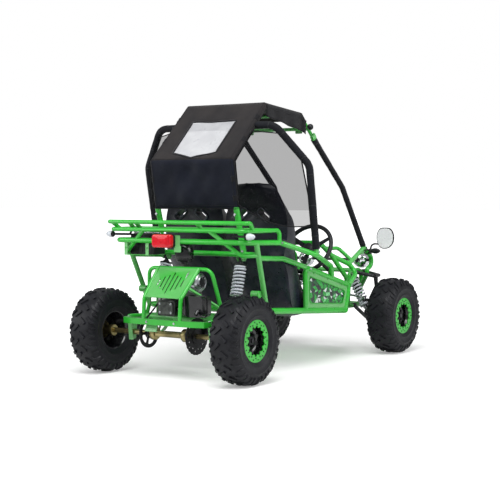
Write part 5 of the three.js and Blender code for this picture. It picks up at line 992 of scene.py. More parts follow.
def make_engine():
    def case(grow, steps=18):
        return wrapped((56, 440, 48), (70, 352, 62), grow, steps)

    s = Shell()
    for grow, thickness, x in ((0, 66, -75), (0, 66, 9), (-3, 18, -9), (4, 4, -77), (4, 4, 73), (4, 4, -2)):
        s.plate(case(grow), thickness, V(x, 0, 0), FORWARD, UP)
    for y, z in case(-1, 5):
        for side in (1, -1):
            s.bolt(V(side * 77, y, z), RIGHT * side, 4)
    s.block(V(0, 116, 293), 120, 100, 9)
    for y in (60, 170):
        for x in (-50, 50):
            s.bolt(V(x, y, 296), UP, 5)
    s.lathe([(0, 34), (24, 34), (44, 30), (50, 24), (50, 2), (54, 0)], V(-77, 70, 352), -RIGHT, 48)
    s.rod(V(-72, 104, 334), V(-150, 104, 334), 9)
    # From here the cylinder, its fins and the carburettor take the darker alloy, which is partly painted shade
    s.mark = 1
    s.block(V(0, 8, 330), 68, 116, 60)
    for k in range(9):
        s.plate(box_outline(100, 72, 9, 3), 2.6, V(0, -46 + k * 7, 330), RIGHT, UP)
    s.plate(box_outline(84, 56, 8, 3), 9, V(0, -46, 330), RIGHT, UP)
    s.mark = 2
    for x in (-32, 32):
        for z in (310, 350):
            s.bolt(V(x, -54, z), -FORWARD, 4.5)
    s.mark = 1
    s.tube([V(-6, 78, 470), V(-6, 84, 505), V(-6, 100, 540)], 16, 60)
    s.block(V(-6, 88, 506), 46, 46, 40)
    s.rod(V(-6, 88, 498), V(-6, 64, 498), 15)
    s.rod(V(-30, 88, 512), V(-44, 88, 512), 9)
    s.plate(box_outline(60, 40, 8, 3), 6, V(-6, 78, 486), RIGHT, FORWARD)
    s.mark = 0
    s.block(V(30, 56, 486), 22, 40, 16)
    s.rod(V(20, 90, 460), V(62, 96, 486), 13)
    s.rod(V(-30, 60, 486), V(-58, 52, 470), 11)
    piece("engine_castings", s, [ALLOY, DARK_ALLOY_AND_SHADE, STEEL], "cradle", "engine", "cast_alloy", bevel=1.2)

    fan = V(0, 54, 448)
    f = Shell()
    f.lathe([(54, 0), (54, 3), (47, 5), (45, 14), (45, 38), (43, 50), (36, 58), (28, 61), (26, 56), (26, 44), (0, 42)],
            fan + RIGHT * 73, RIGHT, 64)
    f.mark = 1
    f.lathe([(0, 43), (25, 45), (25, 57), (20, 59), (12, 58), (0, 58)], fan + RIGHT * 73, RIGHT, 40)
    for a in turns(18):
        way = V(0, *polar(1, a))
        f.plate([(-1.2, 30), (1.2, 30), (1.2, 45), (-1.2, 45)], 40, fan + RIGHT * 78, V(0, -way.z, way.y), way)
    f.mark = 0
    for a in turns(8):
        f.tube([around(fan, 128, 4, a), around(fan, 132, 27, a)], 1.6, sides=8)
    for a in turns(4, 0.5):
        f.bolt(around(fan, 76, 49, a), RIGHT, 3.6)
    f.ring(fan + RIGHT * 133, RIGHT, 28, 2.4, 48, 10)
    f.rod(fan + RIGHT * 116, fan + RIGHT * 128, 11)
    piece("fan_housing", f, [STEEL, IRON], "cradle", slot="cast_alloy", bevel=0.6)

    m = Shell()
    m.plate(box_outline(104, 96, 20, 6), 68, V(160, 14, 344), RIGHT, UP)
    m.plate(box_outline(110, 102, 22, 6), 3, V(160, -16, 344), RIGHT, UP)
    m.tube([V(30, -14, 330), V(60, -30, 326), V(88, -26, 336), V(112, -20, 344)], 12, 24)
    m.tube([V(190, -17, 332), V(190, -60, 328), V(190, -74, 310)], 9, 18)
    m.mark = 1
    for x, z in ((124, 384), (196, 376), (132, 318), (158, 326), (182, 308), (150, 352)):
        m.bolt(V(x, -20, z), -FORWARD, 4.5)
    piece("silencer", m, [GLOSSY, STEEL], "cradle", slot="black_plastic", bevel=1.6)

    g = Shell()
    points = [V(-140, y, z) for y, z in wrapped((104, 334, 22), (0, AXLE.z, 68), 0, 24)]
    loop = finer(points + points[:1], 6.6)[:-1]
    for i, p in enumerate(loop):
        way = (loop[(i + 1) % len(loop)] - p).normalized()
        lift = way.cross(RIGHT)
        x = 3.2 if i % 2 else 2.1
        for side in (-1, 1):
            g.plate(rounded([(-1.5, -2.6), (8, -2.6), (8, 2.6), (-1.5, 2.6)], 2, 2), 1, p + RIGHT * (side * x - 0.5),
                    way, -lift)
        g.rod(p - RIGHT * 4.4, p + RIGHT * 4.4, 1.8, sides=8)
    g.lathe([(0, -4), (22, -4), (22, 4), (0, 4)], V(-140, 104, 334), RIGHT, 24)
    piece("drive_chain", g, IRON, "cradle", slot="bright_steel")

    a = Shell()
    dome = [(44, -30), (45, -18), (45, 0), (44, 12), (40.5, 24), (34, 33), (24, 40), (12, 43.6), (0, 44.6)]
    a.lathe([(0, -44), (24, -44), (34, -42), (38, -37), (38, -31)] + dome, V(-6, 100, 582), UP, 56)
    a.ring(V(-6, 100, 556), UP, 45, 1.8, 56, 10)
    a.ring(V(-6, 100, 542), UP, 33, 2.6, 40, 10)
    piece("filter_cup", a, GLOSSY, "cradle", "air_filter", "black_plastic")


# ---------------------------------------------------------------- wheels

# A tyre's half width, the share of it under the tread, its shoulder's radius, and the radius at
# which a lug's width is measured
TYRE_HALF, TREAD_SHARE, SHOULDER_R, LUG_R = 73, 0.72, 191, 190
# A tyre's lugs, each as its line of (distance from the middle, degrees), widths and height
LUGS = [([(2, -1), (16, 2.4), (33, 6.4)], [11, 14, 15], 7),
        ([(39, -2.6), (52, 1), (62, 3.4), (72, 4.6)], [15, 17, 16, 13], 7),
        ([(58, 10.4), (67, 11.8), (73, 12.4)], [11, 11, 8], 5)]


def bulge(a):
    """Tyre radius at the distance a from its middle plane."""
    u = abs(a) / TYRE_HALF
    if u <= TREAD_SHARE:
        return SHOULDER_R + 5 - 5 * (u / TREAD_SHARE) ** 2
    return SHOULDER_R - 28 * ((u - TREAD_SHARE) / (1 - TREAD_SHARE)) ** 1.6


def make_tyre():
    """A tyre about its own centre, its inside left open like a real one."""
    s = Shell()
    wall = [(88.3, 53), (89, 56), (94, 60), (101, 66), (108, 69.6), (113, 70.8), (114.5, 72.2), (116.5, 72.2),
            (118, 71.6), (130, 73), (143, 73.2), (145, 74.2), (147, 74.2), (149, 73), (156, 71.6)]
    crown = [71 * (1 - 2 * k / 30) for k in range(1, 30)]
    lining = [(88.3, -41), (150, -62), (182, -40), (186, 0), (182, 40), (150, 62), (88.3, 41)]
    s.lathe(wall + [(bulge(a), a) for a in crown] + [(r, -a) for r, a in wall[::-1]] + lining, V(0, 0, 0), RIGHT, 108,
            closed=True)
    for t in range(0, 360, 20):
        for side, shift in ((1, t), (-1, t + 10)):
            for line, wide, lift in LUGS:
                add_lug(s, [(side * a, shift + turn) for a, turn in line], wide, lift)
    return s


def add_lug(s, line, wide, lift):
    """A rubber block along a line of (distance from the middle, angle in degrees)."""
    top, foot = [], []
    for i, (a, t) in enumerate(line):
        before, after = line[max(i - 1, 0)], line[min(i + 1, len(line) - 1)]
        du = after[0] - before[0]
        dv = radians(after[1] - before[1]) * LUG_R
        norm = hypot(du, dv)
        nu, nv = -dv / norm, du / norm
        w = wide[i] / 2
        for ring, share, high in ((top, 0.84, lift), (foot, 1.12, -2.5)):
            for end in (1, -1):
                u = max(-TYRE_HALF - 0.5, min(TYRE_HALF + 0.5, a + nu * w * end * share))
                angle = radians(t) + nv * w * end * share / LUG_R
                out = copysign(max(0, abs(u) - 52) / 21 * (2.5 if high > 0 else 0), u)
                ring.append(V(u + out, *polar(min(bulge(u) + high, AXLE.z), angle)))
    n = len(line)
    faces = []
    for i in range(n - 1):
        a, b, c, d = 2 * i, 2 * i + 1, 2 * i + 3, 2 * i + 2
        faces.append((a, b, c, d))
        faces.append((a, d, 2 * n + d, 2 * n + a))
        faces.append((b, 2 * n + b, 2 * n + c, c))
    faces.append((0, 2 * n, 2 * n + 1, 1))
    e = 2 * n - 2
    faces.append((e, e + 1, 2 * n + e + 1, 2 * n + e))
    s.add(top + foot, faces)


def make_wheels():
    tyre = make_tyre()
    for name, body, x, y in (("rear", "rear_axle", 408, 0), ("front", "front_wheel_", 414, WHEEL_BASE)):
        centre = V(x, y, AXLE.z)
        pair(name + "_tread_tyre_", tyre.placed(lambda p: V(p.x, -p.z, p.y) + centre), RUBBER, body, name + "_tyre_",
             "tyre_rubber", bevel=0.9, smooth=34)
        for label, part, material, nodes, slot, bevel in wheel_parts(name):
            pair(f"{name}_{label}_", part.placed(lambda p: p + centre), material, body, nodes, slot, bevel=bevel)


def wheel_parts(name):
    """A wheel's parts about its own centre: label, shell, material, nodes, slot and bevel."""
    hub = V(0, 0, 0)
    r = Shell()
    r.lathe([(96, -58), (96, -56), (90, -52), (86, -40), (84, -20), (70, -6), (70, 6), (84, 20), (86, 40), (90, 52),
             (96, 56), (97.5, 58.5), (95, 60), (88, 57), (84, 44), (80, 34), (76, 32), (58, 30), (52, 26), (44, 23),
             (13, 23), (13, 15), (50, 15), (66, 22), (78, 26), (80, 14), (66, 2), (66, -2), (80, -20), (83, -50),
             (88, -57)], hub, RIGHT, 80, closed=True)
    for a in turns(12):
        r.along([around(hub, 29, 62, a), around(hub, 33.5, 62, a)], [7.5, 6.2], 16)
    if name == "front":
        r.lathe([(13, -33), (23, -33), (24, -30), (24, 15), (30, 23), (24, 34), (13, 34)], hub, RIGHT, 40)
    lobe = [(-0.34, 61.5), (-0.15, 60), (0.06, 61.5), (0.16, 69), (0.56, 69)]
    hole = rounded([polar(radius, a + share * pi / 7) for a in turns(14) for share, radius in lobe], 2.5, 2)
    g = Shell()
    g.plate(circle(80, 95.5), 5, V(56.5, 0, 0), FORWARD, UP, [hole[::-1]])
    h = Shell()
    for k, a in enumerate(turns(28, -0.3)):
        h.bolt(around(hub, 61.3, 85 - k % 2 * 9, a), RIGHT, 2.7)
    n = Shell()
    for a in turns(4, 0.5):
        n.hex(around(hub, 23, 32, a), around(hub, 32, 32, a), 8.6)
        n.rod(around(hub, 30, 32, a), around(hub, 38, 32, a), 4.6)
    n.lathe([(22, 23), (22, 33), (17, 38), (0, 39)], hub, RIGHT, 32)
    n.hex(V(36, 0, 0), V(44, 0, 0), 11)
    return [("wheel_rim", r, GLOSSY, name + "_rim_", "black_paint", 0), ("bead_ring", g, GREEN, (), "green_paint", 1.0),
            ("ring_bolts", h, IRON, (), "bright_steel", 0), ("wheel_nuts", n, IRON, (), "bright_steel", 0.4)]


# ---------------------------------------------------------------- front suspension and shocks

lower_ball, upper_ball = V(322, WHEEL_BASE, 140), V(304, WHEEL_BASE, 414)
king_way = (upper_ball - lower_ball).normalized()
king_side = FORWARD.cross(king_way)


def kingpin(distance):
    return lower_ball + king_way * distance


def arm(pivot, ball, spread):
    """A wishbone from its sleeves beside pivot (x, z) to its ball pin."""
    s = Shell()
    for end in (-1, 1):
        start = V(pivot[0], WHEEL_BASE + end * SLEEVE_Y, pivot[1])
        finish = ball + FORWARD * end * spread
        s.rod(start - FORWARD * 15, start + FORWARD * 15, 12)
        s.rod(start - FORWARD * 15.2, start + FORWARD * 15.2, 8.5)
        s.tube([start.lerp(finish, 12 / (finish - start).length), finish], 10)
        s.ball(finish, 10.4)
    s.rod(ball - FORWARD * spread, ball + FORWARD * spread, 5)
    for end in (-1, 1):
        s.bolt(ball + FORWARD * end * (spread + 9), FORWARD * end, 6)
    return s


def shock_ears_y(s, eye, holder):
    lift = copysign(11, holder.z - eye.z)
    outline = [(eye.x - 11, eye.z), (eye.x, eye.z - lift), (eye.x + 11, eye.z), (holder.x + 11, holder.z),
               (holder.x - 11, holder.z)]
    for y in (eye.y + 17.3, eye.y - 11.3):
        s.plate(outline, 6, V(0, y, 0), RIGHT, UP)
    s.rod(eye - FORWARD * 20, eye + FORWARD * 20, 5)
    s.bolt(eye + FORWARD * 17.3, FORWARD, 5.5)
    s.bolt(eye - FORWARD * 17.3, -FORWARD, 5.5)


def make_front_suspension():
    low = arm(LOWER_PIVOT, lower_ball, 24.5)
    cross = V(LOWER_PIVOT[0], WHEEL_BASE, LOWER_PIVOT[1]).lerp(lower_ball, 0.5)
    low.rod(cross - FORWARD * 37, cross + FORWARD * 37, 10)
    shock_ears_y(low, FRONT_FOOT, cross)
    pair("lower_wishbone_", low, BLACK, "lower_arm_", "lower_arm_", "black_paint")
    pair("upper_wishbone_", arm(UPPER_PIVOT, upper_ball, 33), BLACK, "upper_arm_", "upper_arm_", "black_paint")

    k = Shell()
    k.rod(lower_ball - FORWARD * 13, lower_ball + FORWARD * 13, 12)
    k.rod(upper_ball - FORWARD * 20, upper_ball + FORWARD * 20, 12)
    outline = rounded([(-36, -14), (0, -14), (14, -6), (14, 6), (0, 14), (-36, 14)], 4, 3)
    for at in (9, 153):
        k.plate(outline, 6, kingpin(at), king_side, FORWARD)
    k.plate([(-14, 9), (14, 9), (14, 159), (-14, 159)], 6, lower_ball - king_side * 36, FORWARD, king_way)
    k.rod(kingpin(9), kingpin(160), 9)
    k.hex(kingpin(159), kingpin(168), 11)
    for end in (-1, 1):
        k.rod(kingpin(156), upper_ball + FORWARD * end * 14, 6)
    pair("kingpin_yoke_", k, BLACK, "kingpin_bracket_", "kingpin_bracket_", "black_paint", bevel=0.6)

    root = kingpin((AXLE.z - lower_ball.z) / king_way.z)
    h = Shell()
    h.lathe([(9.5, 15.3), (19, 15.3), (19.8, 17), (19.8, 26), (18, 29), (18, 140), (19.8, 143), (19.8, 152),
             (9.5, 152.7)], lower_ball, king_way, 36)
    h.rod(root, V(461, WHEEL_BASE, AXLE.z), 12)
    h.rod(root, V(392, WHEEL_BASE, AXLE.z), 21)
    steer_root = kingpin(153 - 7 - 1.5)
    tip = V(286, WHEEL_BASE - 92, steer_root.z)
    h.along(route([steer_root, steer_root.lerp(tip, 0.5), tip]), 7, 14)
    h.rod(tip - UP * 7, tip + UP * 7, 11)
    h.rod(tip, tip + UP * 22, 5)
    h.hex(tip + UP * 19.4, tip + UP * 24, 8)
    pair("spindle_", h, BLACK, "knuckle_", "knuckle_", "black_paint")

    outer = tip + UP * 13.3
    inner = V(164, RACK_Y, RACK_Z)
    way = (inner - outer).normalized()
    t = Shell()
    t.rod(outer - UP * 6, outer + UP * 6, 10)
    t.rod(outer + way * 6, inner - way * 5, 6)
    t.hex(outer + way * 14, outer + way * 28, 8.4)
    t.hex(inner - way * 34, inner - way * 20, 8.4)
    t.rod(inner - RIGHT * 10, inner + RIGHT * 10, 10)
    t.along([inner - way * 22, inner - way * 9, inner], [8.5, 11, 10.4], 18)
    pair("tie_bar_", t, STEEL, "tie_rod_", "tie_rod_", "bright_steel")


def coil_points(start, way, side, length, radius, turned, wire):
    """A spring's wire: its end coils lie close, the rest rises evenly."""
    lift = way.cross(side).normalized()
    points = []
    closed, close_rise = 0.8, wire * 1.9
    total = turned + 2 * closed
    steps = int(total * 26)
    for k in range(steps + 1):
        t = total * k / steps
        if t < closed:
            rise = t / closed * close_rise
        elif t > total - closed:
            rise = length - (total - t) / closed * close_rise
        else:
            rise = close_rise + (t - closed) / turned * (length - 2 * close_rise)
        u, v = polar(radius, 2 * pi * t)
        points.append(start + way * rise + side * u + lift * v)
    return points


# A spring's seat, as its distance from the shock absorber's eye
SPRING_SEAT = 34.3


def make_shock(name, top, bottom, eye_way):
    way = (bottom - top).normalized()
    length = (bottom - top).length

    def at(distance):
        return top + way * distance

    b = Shell()
    b.rod(top - eye_way * 11, top + eye_way * 11, 11)
    b.rod(at(5), at(20), 9)
    b.lathe([(8, 17), (14, 20), (15, 24), (15, 26), (28, 28), (30, 30), (30, 33.6), (26, 34), (16, 34), (15, 36),
             (15, length * 0.52 - 4), (13, length * 0.52), (6, length * 0.52)], top, way, 40)
    b.ring(at(40), way, 15, 1.8, 40, 8)
    pair(name + "_damper_", b, BLACK, name + "_shock_body_", name + "_shock_body_", "black_paint")
    r = Shell()
    r.rod(bottom - eye_way * 11, bottom + eye_way * 11, 11)
    r.rod(at(length - 8), at(54), 6)
    r.lathe([(radius, length - back) for radius, back in ((6, 42), (16, 40), (26, 34), (30, 34), (30, 30), (28, 28),
                                                          (14, 26), (10, 16), (8, 12))], top, way, 40)
    pair(name + "_damper_rod_", r, STEEL, name + "_shock_rod_", name + "_shock_rod_", "bright_steel")
    c = Shell()
    gap = SPRING_SEAT + 4.1
    c.along(coil_points(at(gap), way, eye_way, length - 2 * gap, 25, 7, 4), 5, 14)
    springs = pair(name + "_coil_", c, WHITE, name + "_shock_body_", name + "_spring_", "spring_white", smooth=180)
    for spring, tag, side in zip(springs, ("_right", "_left"), (1, -1)):
        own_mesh(spring)


# ---------------------------------------------------------------- seats

# Each row: the back shell's y and z, its half width, and the y and z that the side wings reach
PROFILE = [(371, 908, 34, 404, 906), (372, 900, 82, 412, 899), (376, 885, 112, 420, 884), (382, 862, 134, 428, 860),
           (388, 825, 152, 446, 822), (392, 780, 168, 482, 776), (392, 730, 178, 522, 728), (391.2, 640, 178, 548, 642),
           (391.2, 548, 162, 566, 562), (432, 460, 158, 592, 492), (458, 380, 152, 624, 432), (492, 304, 146, 660, 386),
           (552, 262, 143, 700, 352), (650, 250, 143, 752, 332), (750, 266, 143, 806, 326), (830, 290, 140, 850, 330),
           (876, 302, 128, 884, 322)]
CHANNELS = (0.14, 0.225, 0.31, 0.395, 0.48, 0.64, 0.72, 0.8, 0.88)
SEAT_X = 186
# Where the harness slots are, from the seat's middle and from the ground
SLOT_X, SLOT_Z = 64, 757


def curve_at(rows, t):
    """A smooth curve's values at t, through all rows."""
    i = min(int(t), len(rows) - 2)
    s = t - i
    a, b, c, d = rows[max(i - 1, 0)], rows[i], rows[i + 1], rows[min(i + 2, len(rows) - 1)]
    return [0.5 * (2 * q + (r - p) * s + (2 * p - 5 * q + 4 * r - w) * s * s + (3 * q - p - 3 * r + w) * s ** 3)
            for p, q, r, w in zip(a, b, c, d)]


def eased(t):
    t = max(0.0, min(1.0, t))
    return t * t * (3 - 2 * t)


def seat_surfaces():
    """Front and back of a bucket seat: a crowned middle with sewn channels between deep side wings."""
    rows_count, columns = 160, 96
    stations = [curve_at(PROFILE, t * (len(PROFILE) - 1) / rows_count) for t in range(rows_count + 1)]
    lengths = [0.0]
    for a, b in zip(stations, stations[1:]):
        lengths.append(lengths[-1] + hypot(b[0] - a[0], b[1] - a[1]))
    front, back = [], []
    for i, (y, z, half, wing_y, wing_z) in enumerate(stations):
        a, b = stations[max(i - 1, 0)], stations[min(i + 1, rows_count)]
        out = RIGHT.cross(V(0, b[0] - a[0], b[1] - a[1]).normalized())
        share = lengths[i] / lengths[-1]
        closing = min(1, share / 0.03, (1 - share) / 0.03) ** 0.5
        pad = 9 * exp(-((share - 0.06) / 0.056) ** 6)
        line_front, line_back = [], []
        for j in range(columns + 1):
            t = 2 * j / columns - 1
            u = 0.5 * t + 0.5 * sin(pi / 2 * t)
            edge = abs(u)
            wave = 0.9 * sin(u * 11 + share * 40) * sin(share * 70 + u * 5)
            wave += 2.6 * edge ** 6 * sin(share * 31 + 1.3) * sin(share * 12 + 4 * u)
            seam = 5.5 * exp(-((edge - 0.6) / 0.02) ** 2)
            if edge < 0.6:
                seam += sum(5 * exp(-((share - mark) * lengths[-1] / 4.5) ** 2) for mark in CHANNELS)
            thick = 38 + 10 * max(0, 1 - (edge / 0.55) ** 2) - seam + wave
            wing = eased((edge - 0.62) / 0.2)
            spine = V(SEAT_X + half * u, y, z)
            shell = spine + out * (26 * edge ** 3 - pad * (1 - edge ** 4) + 0.5 * wave)
            crest = V(SEAT_X + half * u * 0.94, wing_y + wave, wing_z)
            face = (spine + out * thick).lerp(crest, wing)
            line_back.append(shell)
            line_front.append(shell + out + (face - shell) * closing * (1 - edge ** 16) ** 0.5)
        front.append(line_front)
        back.append(line_back)
    return front, back


def slot_outline(width, height, radius, way):
    """A harness slot's outline, dropping to the outside by 38 degrees."""
    a = radians(38) * way
    return [(u * cos(a) + v * sin(a), v * cos(a) - u * sin(a))
            for u, v in rounded(box_outline(width, height), radius, 6)]


def make_seats():
    front, back = seat_surfaces()
    s = Shell()
    s.grid(front)
    s.grid([line[::-1] for line in back])
    seats = pair("bucket_seat_", s, VINYL, "chassis", "seat_", "seat_vinyl", smooth=70)
    for side, seat in zip((1, -1), seats):
        for end in (-1, 1):
            c = Shell()
            middle = V((SEAT_X + end * SLOT_X) * side, 520, SLOT_Z)
            c.plate(slot_outline(72, 32, 12, end * side), 220, middle, RIGHT, UP)
            cut_out(seat, c)

    t = Shell()
    for end in (-1, 1):
        def ring(y, *size):
            return [V(SEAT_X + end * SLOT_X + u, y, SLOT_Z + v) for u, v in slot_outline(*size, end)]

        for y in (389, 443):
            t.along(ring(y, 76, 36, 14), 4.2, 10, closed=True, flat=0.8)
        t.grid([ring(y, 73.5, 33.5, 12) for y in (389, 443)], wrap=True)
    pair("slot_trims_", t, TRIM, "chassis", slot="black_plastic")

    w = Shell()
    for crest in (9, len(front[0]) - 10):
        w.along([line[crest] for line in front[2:-2:2]], 2.4, 8)
    pair("seat_piping_", w, HEM, "chassis", slot="seat_vinyl", smooth=180)


def cut_out(obj, shell):
    """Cuts a shell out of a piece and applies it, so that the piece's mesh holds the hole."""
    mesh = bpy.data.meshes.new("cutter")
    mesh.from_pydata([row(p) for p in shell.places], [], shell.faces)
    cutter = bpy.data.objects.new("cutter", mesh)
    bpy.context.scene.collection.objects.link(cutter)
    hole = obj.modifiers.new("hole", "BOOLEAN")
    hole.object = cutter
    hole.operation = "DIFFERENCE"
    hole.solver = "EXACT"
    graph = bpy.context.evaluated_depsgraph_get()
    done = bpy.data.meshes.new_from_object(obj.evaluated_get(graph))
    obj.modifiers.remove(hole)
    old = obj.data
    obj.data = done
    bpy.data.meshes.remove(old)
    bpy.data.objects.remove(cutter)


# ---------------------------------------------------------------- canopy and nets

CANOPY_LINE = [hem, knee, roof_rear, roof_front, header, pillar_top]
# The cloth's rows, as (run of the line, share of it); it ends half way down the front bow
CANOPY_ROWS = [(run, k / count) for run, count in ((0, 22), (1, 26), (2, 26)) for k in range(count)]
CANOPY_ROWS += [(3, k / 18) for k in range(10)]


def cover_frame(run, share):
    """Centre line place and outward way of the cloth at a station of the bows."""
    here = CANOPY_LINE[run].lerp(CANOPY_LINE[run + 1], share)

    def outward(i):
        way = CANOPY_LINE[i + 1] - CANOPY_LINE[i]
        way.x = 0
        return RIGHT.cross(way.normalized())

    out = outward(run)
    length = (CANOPY_LINE[run + 1] - CANOPY_LINE[run]).length
    soft = 34 / length
    if share < soft and run:
        mixed = out.lerp(outward(run - 1), 0.5 * (1 - share / soft))
        out = mixed.normalized() / max(0.86, mixed.length)
    if share > 1 - soft and run < 4:
        mixed = out.lerp(outward(run + 1), 0.5 * (1 - (1 - share) / soft))
        out = mixed.normalized() / max(0.86, mixed.length)
    return here, out


def cover_row(run, share):
    """A line of the cloth across the bows, from the right flap's edge to the left one's."""
    here, out = cover_frame(run, share)
    half = here.x
    flap, wrap, columns = 14, 10.6, 48
    edge = [(half + wrap, -flap + k * (flap + 4) / 5) for k in range(5)]
    edge += [(half + u, v) for u, v in (polar(wrap, pi / 8 * k) for k in range(5))]
    sag = 6 * sin(pi * share) if run == 2 else 0
    fold = {0: 1.0, 1: 0.35}.get(run, 0.0)
    middle = []
    for k in range(1, columns):
        u = 1 - 2 * k / columns
        arch = cos(pi * u / 2)
        lift = wrap - sag * arch
        if fold:
            drag = sin(7.2 * u + 5.2 * share + 1.2) * 2.4 + sin(13 * u - 9 * share) * 1.2
            smile = 2.6 * sin(pi * (2.2 * share + 0.55 * u * u))
            ease = min(1, share / 0.1) if run == 0 else 1
            lift += fold * arch * ease * (5 + 2.2 * drag + smile * 2.6)
        if run == 2:
            lift += 0.8 * sin(9 * u + 3) * arch * sin(pi * share * 2)
        middle.append((half * u, lift))
    return [V(x, here.y, here.z) + out * lift for x, lift in edge + middle + [(-x, lift) for x, lift in edge[::-1]]]


def inside(u, v, shape):
    """Whether a place lies in an outline."""
    hit = False
    for (a, b), (c, d) in zip(shape, shape[1:] + shape[:1]):
        if (b > v) != (d > v) and u < (c - a) * (v - b) / (d - b) + a:
            hit = not hit
    return hit


# The window in the canopy's back, as (x, share of the run from knee to roof)
WINDOW_EDGE = [(-131, 0.69), (131, 0.69), (128, 0.105), (0, 0.02), (-128, 0.105)]
WINDOW_RISE = (knee.z + 7.7, roof_rear.z - knee.z)


def surface_at(x, run, share):
    """A place on the cloth: its x on the line at a station of the bows."""
    places = cover_row(run, share)
    best = min(range(len(places) - 1), key=lambda k: abs((places[k].x + places[k + 1].x) / 2 - x))
    a, b = places[best], places[best + 1]
    s = 0 if abs(a.x - b.x) < 1e-6 else (a.x - x) / (a.x - b.x)
    return a.lerp(b, max(0, min(1, s)))


def cut_window(obj):
    """Opens the window in the cloth along straight edges."""
    bm = bmesh.new()
    bm.from_mesh(obj.data)
    out = cover_frame(1, 0.5)[1]

    def place(face):
        middle = face.calc_center_median() / MM
        return middle.x, (middle.z - WINDOW_RISE[0]) / WINDOW_RISE[1], middle.y + WHEEL_BASE / 2

    for (x0, v0), (x1, v1) in zip(WINDOW_EDGE, WINDOW_EDGE[1:] + WINDOW_EDGE[:1]):
        a, b = surface_at(x0, 1, v0), surface_at(x1, 1, v1)
        near = [f for f in bm.faces if place(f)[2] < roof_rear.y and 0 < place(f)[1] < 0.8]
        borders = {part for f in near for part in (*f.edges, *f.verts)}
        bmesh.ops.bisect_plane(bm, geom=near + list(borders), plane_co=row(a), plane_no=(b - a).cross(out))
    hole = [f for f in bm.faces if place(f)[2] < roof_rear.y and inside(place(f)[0], place(f)[1], WINDOW_EDGE)]
    bmesh.ops.delete(bm, geom=hole, context="FACES")
    bm.to_mesh(obj.data)
    bm.free()


def make_canopy():
    s = Shell()
    s.grid([cover_row(*at) for at in CANOPY_ROWS])
    spans = len(s.faces) // (len(CANOPY_ROWS) - 1)
    s.marks = [int(CANOPY_ROWS[i // spans][0] == 0) for i in range(len(s.faces))]
    cover = piece("canopy_cloth", s, [CANOPY, CANOPY_LOW], "chassis", "canopy_cover", "canopy_cloth", smooth=180,
                  solid=1.2)
    cut_window(cover)

    w = Shell()
    out = cover_frame(1, 0.5)[1]
    pane = []
    for i in range(19):
        v = i / 18
        line = []
        for j in range(25):
            u = 1 - 2 * j / 24
            low = 0.02 + abs(u) * 0.085 - 0.012
            line.append(surface_at((131 + 3 * v) * u, 1, low + (0.7 - low) * v) - out * 1.2)
        pane.append(line)
    w.grid(pane)
    window = piece("canopy_window", w, WINDOW, "chassis", slot="canopy_cloth", smooth=180, solid=0.6)

    b = Shell()
    loop = []
    for (x0, v0), (x1, v1) in zip(WINDOW_EDGE, WINDOW_EDGE[1:] + WINDOW_EDGE[:1]):
        loop += [surface_at(x0 + (x1 - x0) * k / 14, 1, v0 + (v1 - v0) * k / 14) + out * 0.9 for k in range(14)]
    b.ribbon(loop, out, 11, 1.4)
    piece("window_binding", b, HEM, "chassis", slot="canopy_cloth", smooth=180)

    rows = []
    for i in range(31):
        run, share = (2, i / 22) if i <= 22 else (3, (i - 22) / 16)
        here = CANOPY_LINE[run].lerp(CANOPY_LINE[run + 1], share)
        drop = 58 + 30 * i / 22 if run == 2 else 88 - 40 * share
        rows.append([V(here.x + 11.6 + 2.6 * sin(i * 0.8) * k / 8, here.y,
                       here.z + 4 - (drop + 1.6 * sin(i * 0.55)) * k / 8) for k in range(9)])
    f = Shell()
    f.grid(rows)
    for flap in pair("roof_flap_", f, HEM, "chassis", slot="canopy_cloth", smooth=180, solid=1.2):
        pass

    h = Shell()
    for run, share, size in ((0, 0.0, 2.4), (0, 0.075, 1.2), (3, 0.5, 2.4), (1, 0.01, 1.2), (2, 0.01, 1.2),
                             (3, 0.02, 1.2)):
        out = cover_frame(run, share)[1]
        h.along([p + out * 0.9 for p in cover_row(run, share)], size, 8, flat=0.6)
    lines = [cover_row(*at) for at in CANOPY_ROWS]
    for edge, crease in ((0, 9), (-1, -10)):
        h.along([line[edge] for line in lines], 2.2, 8)
        h.along([line[crease] + cover_frame(*at)[1] * 0.9 for line, at in zip(lines, CANOPY_ROWS)], 1.1, 8, flat=0.6)
    piece("canopy_hems", h, HEM, "chassis", slot="canopy_cloth", smooth=180)


def make_nets():
    base_top = hoop_base + (hoop_knee - hoop_base).normalized() * 0.3
    side_low = base_top.lerp(hoop_knee, (700 - 596) / (992 - 596))
    pairs = [(hem.lerp(knee, 0.08), side_low), (hem.lerp(knee, 0.55), side_low.lerp(hoop_knee, 0.5)),
             (knee, hoop_knee.lerp(hoop_top, 0.12)), (knee.lerp(roof_rear, 0.52), hoop_knee.lerp(hoop_top, 0.78))]
    rows = []
    for i in range(len(pairs) - 1):
        for k in range(10 if i < len(pairs) - 2 else 11):
            t = k / 10
            near = pairs[i][0].lerp(pairs[i + 1][0], t) + RIGHT * 12.4
            outer = pairs[i][1].lerp(pairs[i + 1][1], t)
            far = outer + (near - outer).normalized() * 18.4
            normal = (far - near).cross(UP).normalized()
            slack = 40 * (1 - t) ** 2 if i == 0 else 0
            rows.append([near.lerp(far, j / 14) - (normal * 3.5 + UP * slack) * sin(pi * j / 14)
                         for j in range(15)])
    s = Shell()
    s.grid(rows)
    for net in pair("net_", s, NET, "chassis", "side_net_", "net_mesh", smooth=180):
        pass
    e = Shell()
    for line, size in (([r[0] for r in rows], 3.2), ([r[-1] for r in rows], 3.6), (rows[0], 2.8), (rows[-1], 2.8)):
        e.along(line, size, 8)
    pair("net_binding_", e, HEM, "chassis", slot="canopy_cloth", smooth=180)


# ---------------------------------------------------------------- steering, pedals, lamps, mirrors

